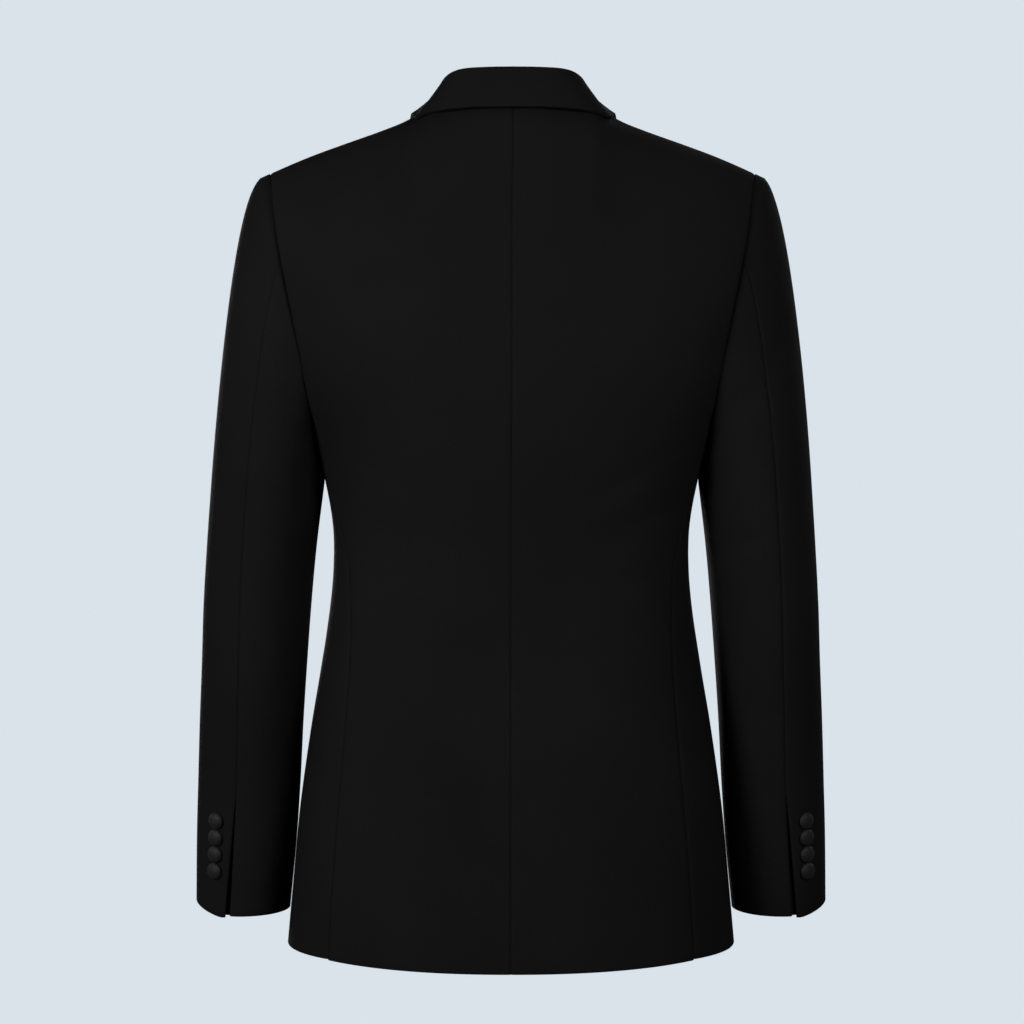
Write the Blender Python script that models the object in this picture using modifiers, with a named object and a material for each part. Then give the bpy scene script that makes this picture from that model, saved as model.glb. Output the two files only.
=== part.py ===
"""A man's double-breasted tuxedo jacket, filled out and hollow, as it hangs from a wearer's shoulders.

Frame: +X towards the wearer's right, +Y the way the wearer faces, +Z up. The origin is on the midline
at the height where the shoulders carry the jacket. Sizes in the tables are millimetres on the outer
face of the cloth, and MM turns them into metres.
"""

import math
from functools import partial

import bmesh
import bpy
from mathutils import Matrix, Vector

MM = 0.001

# Cloth
WALL = 2.0
SEAM_GAP = 0.5
SHOULDER_GAP = 1.1

# Body: level rings, squarer than an ellipse, given at heights from the hem to the neck
RING_POWER = 2.4
HEM_Z = -699.0
BODY_RINGS = (
    # z, half_width, back_depth, front_depth
    (-699.0, 197.0, 126.0, 124.0),
    (-640.0, 191.5, 124.0, 122.5),
    (-573.0, 185.0, 120.0, 121.0),
    (-503.0, 175.0, 112.0, 119.0),
    (-450.0, 166.0, 103.5, 118.0),
    (-397.0, 158.0, 96.0, 118.5),
    (-362.0, 155.0, 93.0, 120.0),
    (-326.0, 157.5, 95.0, 122.0),
    (-286.0, 165.0, 101.0, 125.0),
    (-252.0, 171.5, 107.0, 127.5),
    (-236.0, 177.0, 109.0, 128.5),
    (-219.0, 186.0, 110.5, 129.0),
    (-187.0, 203.0, 112.0, 129.0),
    (-147.0, 218.0, 111.5, 127.5),
    (-103.0, 229.0, 108.5, 124.0),
    (-70.0, 236.0, 104.0, 120.0),
    (-24.0, 243.0, 96.0, 112.0),
    (45.0, 248.0, 86.0, 100.0),
)
RING_LIMIT = 0.9999
HEM_RISE = 5.0
HEM_RISE_HALF = 170.0

# Neck and shoulder line
NECK_HALF = 70.0
NECK_BACK_Y = -50.0
NECK_BACK_Z = 44.0
SHOULDER_Y = -5.0
SHOULDER_HALF = 214.5
SHOULDER_Z = -24.0
SHOULDER_SLOPE = 0.4057
NECK_RISE_FROM = 99.0
NECK_RISE = 6.9
SHOULDER_PAD = (
    # x, rise
    (100.0, -2.0),
    (118.0, -1.5),
    (150.0, 0.2),
    (174.0, 1.1),
    (197.0, 0.8),
    (214.5, 0.0),
)
NECK_SOFT_HALF = 108.0
NECK_SOFT_DROP = 0.09

# How fast the body rounds over below the shoulder: the drop it takes, and the curve's power
BACK_ROUND = 125.0
BACK_POWER = (0.95, 0.5)
BACK_POWER_HALF = 115.0
FRONT_ROUND = 230.0
FRONT_POWER = (0.72, 0.55)
FRONT_POWER_REACH = 60.0
NORMAL_STEP = 0.5

# Seams that run down the body, as half widths at each height
BACK_SIDE_SEAM = (
    # z, x
    (-699.0, 157.0),
    (-603.0, 151.0),
    (-508.0, 143.0),
    (-432.0, 138.0),
    (-362.0, 139.0),
    (-326.0, 146.5),
    (-286.0, 156.0),
    (-252.0, 165.0),
    (-219.0, 174.8),
)
FRONT_SIDE_SEAM = (
    # z, x
    (-699.0, 166.0),
    (-603.0, 159.0),
    (-508.0, 148.0),
    (-432.0, 138.0),
    (-362.0, 135.0),
    (-326.0, 140.0),
    (-286.0, 150.0),
    (-252.0, 160.0),
    (-219.0, 171.3),
)

# Armhole: its height and its angle on the body ring, from the shoulder (0) to the underarm (180)
ARMHOLE = (
    # turn, z, back_angle, front_angle
    (0.0, -22.6, 33.0, 33.0),
    (25.0, -37.0, 33.7, 35.5),
    (50.0, -70.0, 33.9, 38.0),
    (75.0, -103.0, 34.1, 39.0),
    (100.0, -147.0, 33.8, 38.0),
    (125.0, -187.0, 30.4, 34.8),
    (145.0, -219.0, 21.6, 25.0),
    (163.0, -236.0, 11.0, 12.0),
    (180.0, -241.0, 0.0, 0.0),
)
SCYE_TURN = 145.0
RING_ONLY_FROM = 110.0
RING_ONLY_REACH = 25.0
SHOULDER_END_X = 209.1
SHOULDER_END_Z = -22.6

# Sleeve: rings from the cuff up to just below the underarm
SLEEVE_RINGS = (
    # z, outer, inner, centre_y, half_depth, hindarm_turn
    (-670.0, 279.9, 196.5, 30.0, 48.5, 77.5),
    (-609.0, 278.7, 190.3, 26.0, 50.5, 79.0),
    (-556.0, 276.7, 186.3, 22.0, 53.0, 80.0),
    (-503.0, 274.6, 183.3, 18.0, 56.0, 79.0),
    (-450.0, 272.0, 179.5, 14.0, 59.0, 77.5),
    (-397.0, 269.8, 175.3, 11.0, 62.0, 76.0),
    (-344.0, 266.3, 170.2, 8.0, 65.0, 74.5),
    (-291.0, 262.3, 164.6, 6.0, 68.0, 73.0),
)
CUFF_Z = SLEEVE_RINGS[0][0]
SLEEVE_TOP_Z = SLEEVE_RINGS[-1][0]
SLEEVE_STEP = 10.0
HEAD_BULGE = 0.44
HEAD_ROWS = (0.0, 0.012, 0.05, 0.13, 0.27, 0.45, 0.65, 0.83)
HEAD_LEAN = 20.0
UNDERARM_FROM = 0.55
UNDERARM_REACH = 0.2
SLEEVE_START = 1.3
SLEEVE_CLEAR = 2.6
CLEAR_SOFTNESS = 1.0
DEPTH_LIMIT = 0.98
HEAD_HINDARM_TURN = 70.0
FOREARM_TURN = 245.0
SLEEVE_SEAM_HALF = 0.5
CUFF_RADIUS = 45.0
CUFF_RISE = 7.5
CUFF_RISE_TURN = 335.0
VENT_TOP_Z = -565.0
VENT_OPEN = 5.6
VENT_POINT = 2.5
VENT_POINT_SHARE = 1 / 3

# Fronts: the left laps over the right, and each folds back along a straight roll line
FRONT_EDGE = 85.0
ROLL_BOTTOM_Z = -345.0
UNDER_BLEND = 34.0
UNDER_TUCK = 7.9
UNDER_MARGIN = 8.0
LAPEL_ROWS = (
    # along the roll line (0 at the fastening, 1 at the neck), width, rise of the edge, sag of the row
    (0.02, 5.0, 0.0, 0.0),
    (0.12, 33.0, 2.0, 0.0),
    (0.26, 58.0, 5.0, 0.0),
    (0.42, 76.0, 10.0, 0.0),
    (0.58, 89.0, 18.0, 2.0),
    (0.72, 97.0, 32.0, 8.0),
    (0.835, 99.0, 42.0, 20.0),
)
LAPEL_ROLL_LIFT = 3.2
LAPEL_LIFT = 4.1
LAPEL_BOW = 2.5
LAPEL_BOW_WIDTH = 60.0
LAPEL_LIFT_SHARE = 1 / 4

# Collar: the seam to the neck, the fold and the free edge, from the centre back to the front end
COLLAR_ROWS = (
    # place, base_x, base_y, base_z, fold_x, fold_y, fold_z, edge_x, edge_y, edge_z
    (0, 0.0, -46.0, 47.0, 0.0, -43.5, 70.2, 0.0, -61.4, 33.4),
    (1, 24.0, -43.5, 47.0, 23.5, -41.0, 69.9, 31.5, -57.0, 33.2),
    (2, 45.0, -34.0, 46.5, 44.5, -33.0, 68.2, 57.0, -48.0, 31.4),
    (3, 57.0, -20.0, 45.0, 56.0, -20.0, 62.0, 76.5, -35.0, 28.2),
    (4, 62.0, -5.0, 42.0, 60.0, -3.0, 53.0, 85.5, -26.5, 25.0),
    (5, 61.5, 12.0, 33.0, 59.5, 16.0, 41.0, 91.8, 9.0, 21.0),
    (6, 57.0, 32.0, 17.0, 56.0, 37.0, 23.0, 99.4, 39.4, -5.8),
    (7, 43.0, 62.0, -13.0, 46.5, 67.5, -15.0, 99.8, 66.8, -39.4),
)
FOLD_AT = 0.35
FALL_LIFT = 4.2
FALL_CLEAR_FROM = 2.2
FALL_CLEAR_SHARE = 1 / 4
TOP_SEARCH_Z = -150.0
TOP_SEARCH_ROUNDS = 30
TOP_STEP = 1.5
STEEPEST = 3.0

# Buttons
CUFF_BUTTON = (14.8, 5.0)
CUFF_BUTTON_Z = (-585.0, -600.2, -615.4, -630.6)
CUFF_BUTTON_TURN = 57.5
FRONT_BUTTON = (20.0, 6.4)
FRONT_BUTTONS = (
    # name, half spread, z
    ("top", 90.0, -262.0),
    ("middle", 57.0, -366.0),
    ("bottom", 57.0, -468.0),
)
BUTTON_GAP = 0.3
BUTTON_PROFILE = (
    # share of the radius, share of the height
    (0.0, 1.0),
    (0.5, 0.92),
    (0.84, 0.7),
    (1.0, 0.36),
    (0.8, 0.0),
    (0.0, 0.0),
)
BUTTON_STEPS = 12
# Steps in degrees round the sleeve and as a share along it, which give its slope at a button
SLOPE_TURN = 1.0
SLOPE_ALONG = 0.005
MERGE_WITHIN = 0.00001

# Grid of each sheet: places up the panel, and how many cells across
BODY_PARTS = ((8, 0.0, 0.35), (6, 0.35, 0.5), (6, 0.5, 0.9))
BODY_TOP_ROWS = (0.95, 0.975, 0.991, 1.0)
SIDE_PARTS = ((6, 0.0, 0.7), (7, 0.7, 1.0))
BACK_ACROSS = 7
SIDE_ACROSS = 8
FRONT_ACROSS = 10
LAPEL_ACROSS = 8
LAPEL_ALONG = 16
COLLAR_ACROSS = (0.0, 0.12, 0.24, FOLD_AT, 0.48, 0.65, 0.82, 1.0)
COLLAR_ALONG = 28
TOP_SLEEVE_ACROSS = 11
UNDER_SLEEVE_ACROSS = 9
ARM_ROWS = 9

# Finishes: colour, roughness, metallic
WOOL = ((0.009, 0.009, 0.010), 0.85, 0.0)
SILK = ((0.012, 0.012, 0.013), 0.38, 0.0)
COVERED = ((0.016, 0.016, 0.018), 0.5, 0.0)

LEFT = -1
RIGHT = 1
SIDES = ((LEFT, "left"), (RIGHT, "right"))


# Reading the tables

def read_table(rows, at, column):
    """The column's value at this height or turn, on a smooth curve through the rows."""
    keys = [row[0] for row in rows]
    if at <= keys[0]:
        return rows[0][column]
    if at >= keys[-1]:
        return rows[-1][column]
    upper = next(index for index, key in enumerate(keys) if key >= at)
    before = rows[max(upper - 2, 0)]
    start = rows[upper - 1]
    end = rows[upper]
    after = rows[min(upper + 1, len(rows) - 1)]
    span = end[0] - start[0]
    step = (at - start[0]) / span
    leave = (end[column] - before[column]) / (end[0] - before[0]) * span
    arrive = (after[column] - start[column]) / (after[0] - start[0]) * span
    rise = end[column] - start[column]
    curve = step * step * (3 - 2 * step) * rise
    return start[column] + curve + step * (1 - step) * ((1 - step) * leave - step * arrive)


def smooth(value):
    """0 to 1 with level ends."""
    value = min(max(value, 0.0), 1.0)
    return value * value * (3 - 2 * value)


def blend(start, end, share):
    return start + (end - start) * share


# The body's surface, in the middle of the cloth

def ring_at(z):
    """Half width, back depth and front depth of the middle of the cloth at this height."""
    return [read_table(BODY_RINGS, z, column) - WALL / 2 for column in (1, 2, 3)]


def shoulder_line(x):
    """Height of the shoulder seam, which rises towards the neck."""
    line = SHOULDER_Z + (SHOULDER_HALF - x) * SHOULDER_SLOPE
    near_neck = max(NECK_RISE_FROM - x, 0.0) / (NECK_RISE_FROM - NECK_HALF)
    return line - WALL / 2 + NECK_RISE * near_neck ** 2 + read_table(SHOULDER_PAD, x, 1)


NECK_TOP_Z = shoulder_line(NECK_HALF)


def shoulder_top(x):
    """Height of the neck and shoulder edge above a point of the body."""
    if abs(x) < NECK_HALF:
        return blend(NECK_BACK_Z, NECK_TOP_Z, (x / NECK_HALF) ** 2)
    return shoulder_line(abs(x))


def edge_depth(x, drop):
    """The edge's place from back to front: round the neck, then along the shoulder; softer below it."""
    curve = math.sqrt(max(1 - (x / NECK_HALF) ** 2, 0.0))
    edge = blend(SHOULDER_Y, NECK_BACK_Y, curve)
    soft = blend(NECK_BACK_Y, SHOULDER_Y, smooth(abs(x) / NECK_SOFT_HALF))
    return blend(edge, soft, smooth(drop / NECK_SOFT_DROP))


def ring_depth(x, half_width, depth):
    """How far the level ring stands out at this half width."""
    share = min(abs(x) / half_width, RING_LIMIT)
    return depth * (1 - share ** RING_POWER) ** (1 / RING_POWER)


def rounded(drop, powers, share):
    """How much of its depth the body has reached, this far below the shoulder."""
    return (1 - (1 - drop) ** 2) ** blend(*powers, smooth(share))


def back_surface(x, z):
    half_width, depth, _ = ring_at(z)
    drop = min(max((shoulder_top(x) - z) / BACK_ROUND, 0.0), 1.0)
    reach = rounded(drop, BACK_POWER, abs(x) / BACK_POWER_HALF)
    return Vector((x, blend(edge_depth(x, drop), -ring_depth(x, half_width, depth), reach), z))


def front_surface(x, z):
    half_width, _, depth = ring_at(z)
    top = shoulder_top(max(abs(x), NECK_HALF))
    drop = min(max((top - z) / FRONT_ROUND, 0.0), 1.0)
    reach = rounded(drop, FRONT_POWER, (abs(x) - NECK_HALF) / FRONT_POWER_REACH)
    return Vector((x, blend(SHOULDER_Y, ring_depth(x, half_width, depth), reach), z))


def ring_point(angle, z):
    """A point of a level ring: 0 degrees at the side, 90 at the front and -90 at the back."""
    half_width, back, front = ring_at(z)
    turn = math.radians(angle)
    x = half_width * math.cos(turn) ** (2 / RING_POWER)
    y = abs(math.sin(turn)) ** (2 / RING_POWER)
    return Vector((x, y * front if angle > 0 else -y * back, z))


def ring_angle(x, z):
    """The angle of the ring's point at this half width."""
    share = min(x / ring_at(z)[0], 1.0)
    return math.degrees(math.acos(share ** (RING_POWER / 2)))


def outward(surface, x, z, facing):
    """The surface's unit normal, away from the body."""
    across = surface(x + NORMAL_STEP, z) - surface(x - NORMAL_STEP, z)
    up = surface(x, z + NORMAL_STEP) - surface(x, z - NORMAL_STEP)
    normal = across.cross(up).normalized()
    return normal if normal.y * facing > 0 else -normal


# The armhole

def armhole(turn):
    """A point of the armhole: 0 at the shoulder, back side to 180 at the underarm, front side to 360."""
    turn %= 360
    to_front = turn > 180
    along = 360 - turn if to_front else turn
    z = read_table(ARMHOLE, along, 1)
    angle = read_table(ARMHOLE, along, 3 if to_front else 2)
    flat = ring_point(angle, z)
    if to_front:
        on_body = front_surface(flat.x, z)
    else:
        on_body = back_surface(flat.x, z)
    if along == 0:
        on_body.y = SHOULDER_Y
    # Round the underarm the ring alone is the body, and on the shoulder the rounded panel is.
    share = smooth((along - RING_ONLY_FROM) / RING_ONLY_REACH)
    return on_body.lerp(flat, share)


def armhole_turn(z):
    """The turn at which the armhole reaches this height."""
    low, high = 0.0, 180.0
    for _ in range(30):
        middle = (low + high) / 2
        if read_table(ARMHOLE, middle, 1) > z:
            low = middle
        else:
            high = middle
    return middle


# Panels of the body

def meet_at_shoulder(point, rise, facing):
    """Puts the top row of a panel on the shoulder seam, with half the seam's gap."""
    if rise == 1 and abs(point.x) >= NECK_HALF:
        point.y = SHOULDER_Y + facing * SHOULDER_GAP / 2
    return point


SCYE_Z = read_table(ARMHOLE, SCYE_TURN, 1)


def hem_z(x):
    """The hem rises a little from the centre to the sides."""
    return HEM_Z + HEM_RISE * min(abs(x) / HEM_RISE_HALF, 1.0) ** 2


def back_point(across, along):
    """The back panel from the centre seam to the side seam and armhole, and from the hem to the top."""
    if along <= 0.5:
        z = blend(hem_z(BACK_SIDE_SEAM[0][1] * across), SCYE_Z, along * 2)
        edge = read_table(BACK_SIDE_SEAM, z, 1) - SEAM_GAP / 2
        x = blend(SEAM_GAP / 2, edge, across)
        return back_surface(x, z)
    rise = along * 2 - 1
    edge_z = blend(SCYE_Z, SHOULDER_END_Z, rise)
    edge = armhole(armhole_turn(edge_z)).x
    x = blend(SEAM_GAP / 2, edge, across)
    top_z = shoulder_top(SHOULDER_END_X * across)
    return meet_at_shoulder(back_surface(x, blend(SCYE_Z, top_z, rise)), rise, -1)


def side_point(across, along):
    """The side body from the back seam to the front seam, and from the hem to the underarm."""
    turn = blend(SCYE_TURN, 360 - SCYE_TURN, across)
    top = armhole(turn)
    z = blend(hem_z(HEM_RISE_HALF), top.z, along)
    start = -ring_angle(read_table(BACK_SIDE_SEAM, z, 1), z)
    end = ring_angle(read_table(FRONT_SIDE_SEAM, z, 1), z)
    inset = math.degrees(SEAM_GAP / ring_at(z)[1])
    return ring_point(blend(start + inset, end - inset, across), z)


def roll_x(z):
    """The roll line's place at this height, from the front's far edge to the neck: own side is positive."""
    if z <= ROLL_BOTTOM_Z:
        return -FRONT_EDGE
    return blend(-FRONT_EDGE, NECK_HALF, (z - ROLL_BOTTOM_Z) / (NECK_TOP_Z - ROLL_BOTTOM_Z))


def covered(side, x, z):
    """1 where the left front lies over the right one, falling to 0 a little way outside its edge."""
    if side == LEFT:
        return 0.0
    return smooth(1 - (x + roll_x(z) - UNDER_MARGIN) / UNDER_BLEND)


def worn_front(side, x, z, lift=0.0):
    """A point of a front, with x measured towards its own side, moved out by the lift."""
    out = lift - UNDER_TUCK * covered(side, x, z)
    return front_surface(x, z) + outward(front_surface, x, z, 1) * out


def front_point(side, across, along):
    """The front panel from the side seam and armhole to the front edge and roll line."""
    if along <= 0.5:
        bottom_z = hem_z(blend(FRONT_SIDE_SEAM[0][1], -FRONT_EDGE, across))
        z = blend(bottom_z, SCYE_Z, along * 2)
        edge = read_table(FRONT_SIDE_SEAM, z, 1) - SEAM_GAP / 2
        x = blend(edge, roll_x(z), across)
        return worn_front(side, x, z)
    rise = along * 2 - 1
    edge_z = blend(SCYE_Z, SHOULDER_END_Z, rise)
    edge = armhole(360 - armhole_turn(edge_z)).x
    inner_z = blend(SCYE_Z, NECK_TOP_Z, rise)
    x = blend(edge, roll_x(inner_z), across)
    seam_x = blend(SHOULDER_END_X, NECK_HALF, across)
    straight = blend(SHOULDER_END_Z, NECK_TOP_Z, across)
    z = blend(edge_z, inner_z, across) + (shoulder_top(seam_x) - straight) * rise ** 2
    return meet_at_shoulder(worn_front(side, x, z), rise, 1)


# Lapels and collar

def lapel_point(side, across, along):
    """The lapel from the roll line to its free edge, and from the fastening to the gorge."""
    place = blend(LAPEL_ROWS[0][0], LAPEL_ROWS[-1][0], along)
    width, rise, sag = (read_table(LAPEL_ROWS, place, column) for column in (1, 2, 3))
    roll_z = blend(ROLL_BOTTOM_Z, NECK_TOP_Z, place)
    line = Vector((NECK_HALF + FRONT_EDGE, NECK_TOP_Z - ROLL_BOTTOM_Z)).normalized()
    out_x = roll_x(roll_z) + (line.y * width + line.x * rise) * across
    out_z = roll_z + (line.y * rise - line.x * width) * across
    out_z -= sag * (1 - abs(2 * across - 1))
    bow = LAPEL_BOW * math.sin(math.pi * across) * smooth(width / LAPEL_BOW_WIDTH)
    lift = blend(LAPEL_ROLL_LIFT, LAPEL_LIFT, smooth(across / LAPEL_LIFT_SHARE))
    lift += bow * (1 - covered(side, out_x, out_z))
    return worn_front(side, out_x, out_z, lift)


def body_top(x, y):
    """Height of the body's surface at this place, over the shoulder from back to front."""
    surface = front_surface if y > SHOULDER_Y else back_surface
    low, high = TOP_SEARCH_Z, shoulder_top(x)
    for _ in range(TOP_SEARCH_ROUNDS):
        middle = (low + high) / 2
        if abs(surface(x, middle).y - SHOULDER_Y) > abs(y - SHOULDER_Y):
            low = middle
        else:
            high = middle
    return low


def over_shoulder(point, share):
    """Raises the collar's fall where it would lie in the body, by this share of what it lacks."""
    rise_x = body_top(point.x + TOP_STEP, point.y) - body_top(point.x - TOP_STEP, point.y)
    rise_y = body_top(point.x, point.y + TOP_STEP) - body_top(point.x, point.y - TOP_STEP)
    steepness = min(math.hypot(rise_x, rise_y) / (2 * TOP_STEP), STEEPEST)
    lift = FALL_LIFT * math.hypot(1, steepness)
    shortfall = body_top(point.x, point.y) + lift - point.z
    raised = (shortfall + math.sqrt(shortfall ** 2 + CLEAR_SOFTNESS)) / 2
    return Vector((point.x, point.y, point.z + raised * share))


def collar_point(across, along):
    """The collar from its seam over the fold to the free edge, and from the left front to the right."""
    side = LEFT if along < 0.5 else RIGHT
    place = abs(along * 2 - 1) * COLLAR_ROWS[-1][0]
    values = [read_table(COLLAR_ROWS, place, column) for column in range(1, len(COLLAR_ROWS[0]))]
    base = Vector(values[0:3])
    fold = Vector(values[3:6])
    edge = Vector(values[6:9])
    down = (across - FOLD_AT) / (1 - FOLD_AT)
    point = base.lerp(fold, across / FOLD_AT) if down < 0 else fold.lerp(edge, down)
    point = over_shoulder(point, smooth(place - FALL_CLEAR_FROM) * smooth(down / FALL_CLEAR_SHARE))
    return Vector((point.x * side, point.y, point.z))


# Sleeves

def sleeve_ring(turn, z):
    """A point of the sleeve at or below its first ring: 0 outermost, 90 at the back, 180 next to the body."""
    outer, inner, centre_y, half_depth = [read_table(SLEEVE_RINGS, z, column) for column in range(1, 5)]
    angle = math.radians(turn)
    half_width = (outer - inner) / 2 - WALL / 2
    x = (outer + inner) / 2 + half_width * math.cos(angle)
    y = centre_y - (half_depth - WALL / 2) * math.sin(angle)
    return Vector((x, y, z))


def body_side(y, z):
    """The side of the body's ring at this depth and height, and the way it faces."""
    half_width, back, front = ring_at(z)
    depth = front if y > 0 else back
    share = min(abs(y) / depth, DEPTH_LIMIT)
    x = half_width * (1 - share ** RING_POWER) ** (1 / RING_POWER)
    facing_x = (x / half_width) ** (RING_POWER - 1) / half_width
    facing_y = math.copysign(share ** (RING_POWER - 1) / depth, y)
    return x, Vector((facing_x, facing_y, 0)).normalized()


def clear_of_body(point):
    """Moves a point of the sleeve out until the cloth clears the side of the body."""
    side_x, facing = body_side(point.y, point.z)
    shortfall = side_x + SLEEVE_CLEAR / facing.x - point.x
    push = (shortfall + math.sqrt(shortfall ** 2 + CLEAR_SOFTNESS)) / 2
    return Vector((point.x + push, point.y, point.z))


def sleeve_head(turn, share):
    """A point between the armhole and the first ring, share 0 to 1 from top to bottom."""
    start = armhole(turn)
    end = sleeve_ring(turn, SLEEVE_TOP_Z)
    below = sleeve_ring(turn, SLEEVE_TOP_Z - SLEEVE_STEP)
    away = Vector((end.x - start.x + HEAD_LEAN, (end.y - start.y) / 2, 0)).normalized()
    from_top = abs((turn + 180) % 360 - 180) / 180
    under = smooth((from_top - UNDERARM_FROM) / UNDERARM_REACH)
    away = away.lerp(body_side(start.y, start.z)[1], under)
    start = start + away * blend(SLEEVE_START, SLEEVE_CLEAR, under)
    power = blend(HEAD_BULGE, 1.0, smooth(from_top))
    point = start.lerp(end, share)
    bulged = share ** power
    slope = (end - below) / SLEEVE_STEP * (end.z - start.z)
    settle = share ** 3 - share ** 2
    for axis in (0, 1):
        reach = end[axis] - start[axis]
        point[axis] = start[axis] + reach * bulged + (slope[axis] - reach * power) * settle
    return clear_of_body(point) if from_top > 0.5 else point


def sleeve_place(turn, along):
    """A point of the sleeve, from the armhole (0) over the head (to 0.5) down to the cuff (1)."""
    if along < 0.5:
        return sleeve_head(turn, along * 2)
    down = along * 2 - 1
    point = sleeve_ring(turn, blend(SLEEVE_TOP_Z, CUFF_Z, down))
    point.z += CUFF_RISE * max(math.cos(math.radians(turn - CUFF_RISE_TURN)), 0.0) * down ** 3
    return point


def hindarm(along):
    """The turn of the back seam, which swings a little on its way down the arm."""
    if along < 0.5:
        return blend(HEAD_HINDARM_TURN, SLEEVE_RINGS[-1][5], along * 2)
    return read_table(SLEEVE_RINGS, blend(SLEEVE_TOP_Z, CUFF_Z, along * 2 - 1), 5)


def vent_share(along):
    """0 above the vent and 1 at the cuff."""
    z = blend(SLEEVE_TOP_Z, CUFF_Z, along * 2 - 1)
    return min(max((VENT_TOP_Z - z) / (VENT_TOP_Z - CUFF_Z), 0.0), 1.0)


def vent_gap(along):
    """Half the gap between the sleeve's panels at the back seam, in degrees, opening down the vent."""
    return SLEEVE_SEAM_HALF + math.degrees(VENT_OPEN / 2 / CUFF_RADIUS) * vent_share(along)


def top_sleeve_point(across, along):
    gap = vent_gap(along)
    turn = blend(hindarm(along) - gap, FOREARM_TURN - 360 + SLEEVE_SEAM_HALF, across)
    point = sleeve_place(turn, along)
    point.z -= VENT_POINT * vent_share(along) * smooth(1 - across / VENT_POINT_SHARE)
    return point


def under_sleeve_point(across, along):
    turn = blend(hindarm(along) + vent_gap(along), FOREARM_TURN - SLEEVE_SEAM_HALF, across)
    return sleeve_place(turn, along)


# Building

def clear_scene():
    for item in list(bpy.data.objects):
        bpy.data.objects.remove(item, do_unlink=True)


def material(name, finish):
    colour, roughness, metallic = finish
    made = bpy.data.materials.new(name)
    made.use_nodes = True
    shader = made.node_tree.nodes["Principled BSDF"]
    shader.inputs["Base Color"].default_value = (*colour, 1)
    shader.inputs["Roughness"].default_value = roughness
    shader.inputs["Metallic"].default_value = metallic
    made.diffuse_color = (*colour, 1)
    return made


def add_object(name, mesh, finish, collection):
    mesh.materials.append(material(name, finish))
    made = bpy.data.objects.new(name, mesh)
    collection.objects.link(made)
    return made


def cloth(name, point_at, across_steps, along_steps, finish, collection, flip=False):
    """A wall of cloth: a grid laid on the surface and given its thickness."""
    shape = bmesh.new()
    bmesh.ops.create_grid(shape, x_segments=len(across_steps) - 1, y_segments=len(along_steps) - 1, size=1)
    for corner in shape.verts:
        across = across_steps[round((corner.co.x + 1) / 2 * (len(across_steps) - 1))]
        along = along_steps[round((corner.co.y + 1) / 2 * (len(along_steps) - 1))]
        corner.co = point_at(across, along) * MM
    if flip:
        bmesh.ops.reverse_faces(shape, faces=shape.faces)
    mesh = bpy.data.meshes.new(name)
    shape.to_mesh(mesh)
    shape.free()
    made = add_object(name, mesh, finish, collection)
    wall = made.modifiers.new("wall", "SOLIDIFY")
    wall.thickness = WALL * MM
    wall.offset = 0
    return made


def even(count, start=0.0, end=1.0):
    return [blend(start, end, index / count) for index in range(count + 1)]


def rows_of(parts):
    """The even rows of each part of a sheet, one after the other."""
    return [0.0] + [row for part in parts for row in even(*part)[1:]]


def mirrored(point_at, side):
    """The same surface on the left or right of the midline."""
    def place(across, along):
        point = point_at(across, along)
        return Vector((point.x * side, point.y, point.z))
    return place


def add_body(collection):
    levels = rows_of(BODY_PARTS) + list(BODY_TOP_ROWS)
    low = rows_of(SIDE_PARTS)
    for side, word in SIDES:
        flip = side == RIGHT
        back = mirrored(back_point, side)
        side_body = mirrored(side_point, side)
        front = mirrored(partial(front_point, side), side)
        cloth(f"back_{word}", back, even(BACK_ACROSS), levels, WOOL, collection, flip)
        cloth(f"side_{word}", side_body, even(SIDE_ACROSS), low, WOOL, collection, flip)
        cloth(f"front_{word}", front, even(FRONT_ACROSS), levels, WOOL, collection, flip)


def add_lapels(collection):
    for side, word in SIDES:
        lapel = mirrored(partial(lapel_point, side), side)
        cloth(f"lapel_{word}", lapel, even(LAPEL_ACROSS), even(LAPEL_ALONG), SILK, collection)


def add_collar(collection):
    cloth("collar", collar_point, COLLAR_ACROSS, even(COLLAR_ALONG), WOOL, collection)


def add_sleeves(collection):
    levels = [row / 2 for row in HEAD_ROWS] + even(ARM_ROWS, 0.5, 1.0)
    for side, word in SIDES:
        flip = side == LEFT
        top = mirrored(top_sleeve_point, side)
        under = mirrored(under_sleeve_point, side)
        cloth(f"top_sleeve_{word}", top, even(TOP_SLEEVE_ACROSS), levels, WOOL, collection, flip)
        cloth(f"under_sleeve_{word}", under, even(UNDER_SLEEVE_ACROSS), levels, WOOL, collection, flip)


def button(name, size, place, normal, collection):
    """A covered button: a domed face over a flat back, turned round its own axis."""
    across, height = size
    mesh = bpy.data.meshes.new(name)
    points = [(out * across / 2 * MM, 0, up * height * MM) for out, up in BUTTON_PROFILE]
    mesh.from_pydata(points, [(index, index + 1) for index in range(len(points) - 1)], [])
    made = add_object(name, mesh, COVERED, collection)
    turned = made.modifiers.new("turned", "SCREW")
    turned.steps = BUTTON_STEPS
    turned.render_steps = BUTTON_STEPS
    turned.use_merge_vertices = True
    turned.merge_threshold = MERGE_WITHIN
    made.matrix_world = Matrix.Translation(place * MM) @ normal.to_track_quat("Z", "Y").to_matrix().to_4x4()
    return made


def cuff_button_place(z):
    """The place and direction of a cuff button, on the top sleeve beside the vent."""
    along = 0.5 + (z - SLEEVE_TOP_Z) / (CUFF_Z - SLEEVE_TOP_Z) / 2
    point = sleeve_place(CUFF_BUTTON_TURN, along)
    around = sleeve_place(CUFF_BUTTON_TURN + SLOPE_TURN, along) - point
    down = sleeve_place(CUFF_BUTTON_TURN, along + SLOPE_ALONG) - point
    normal = around.cross(down).normalized()
    return point, normal if normal.x > 0 else -normal


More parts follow.
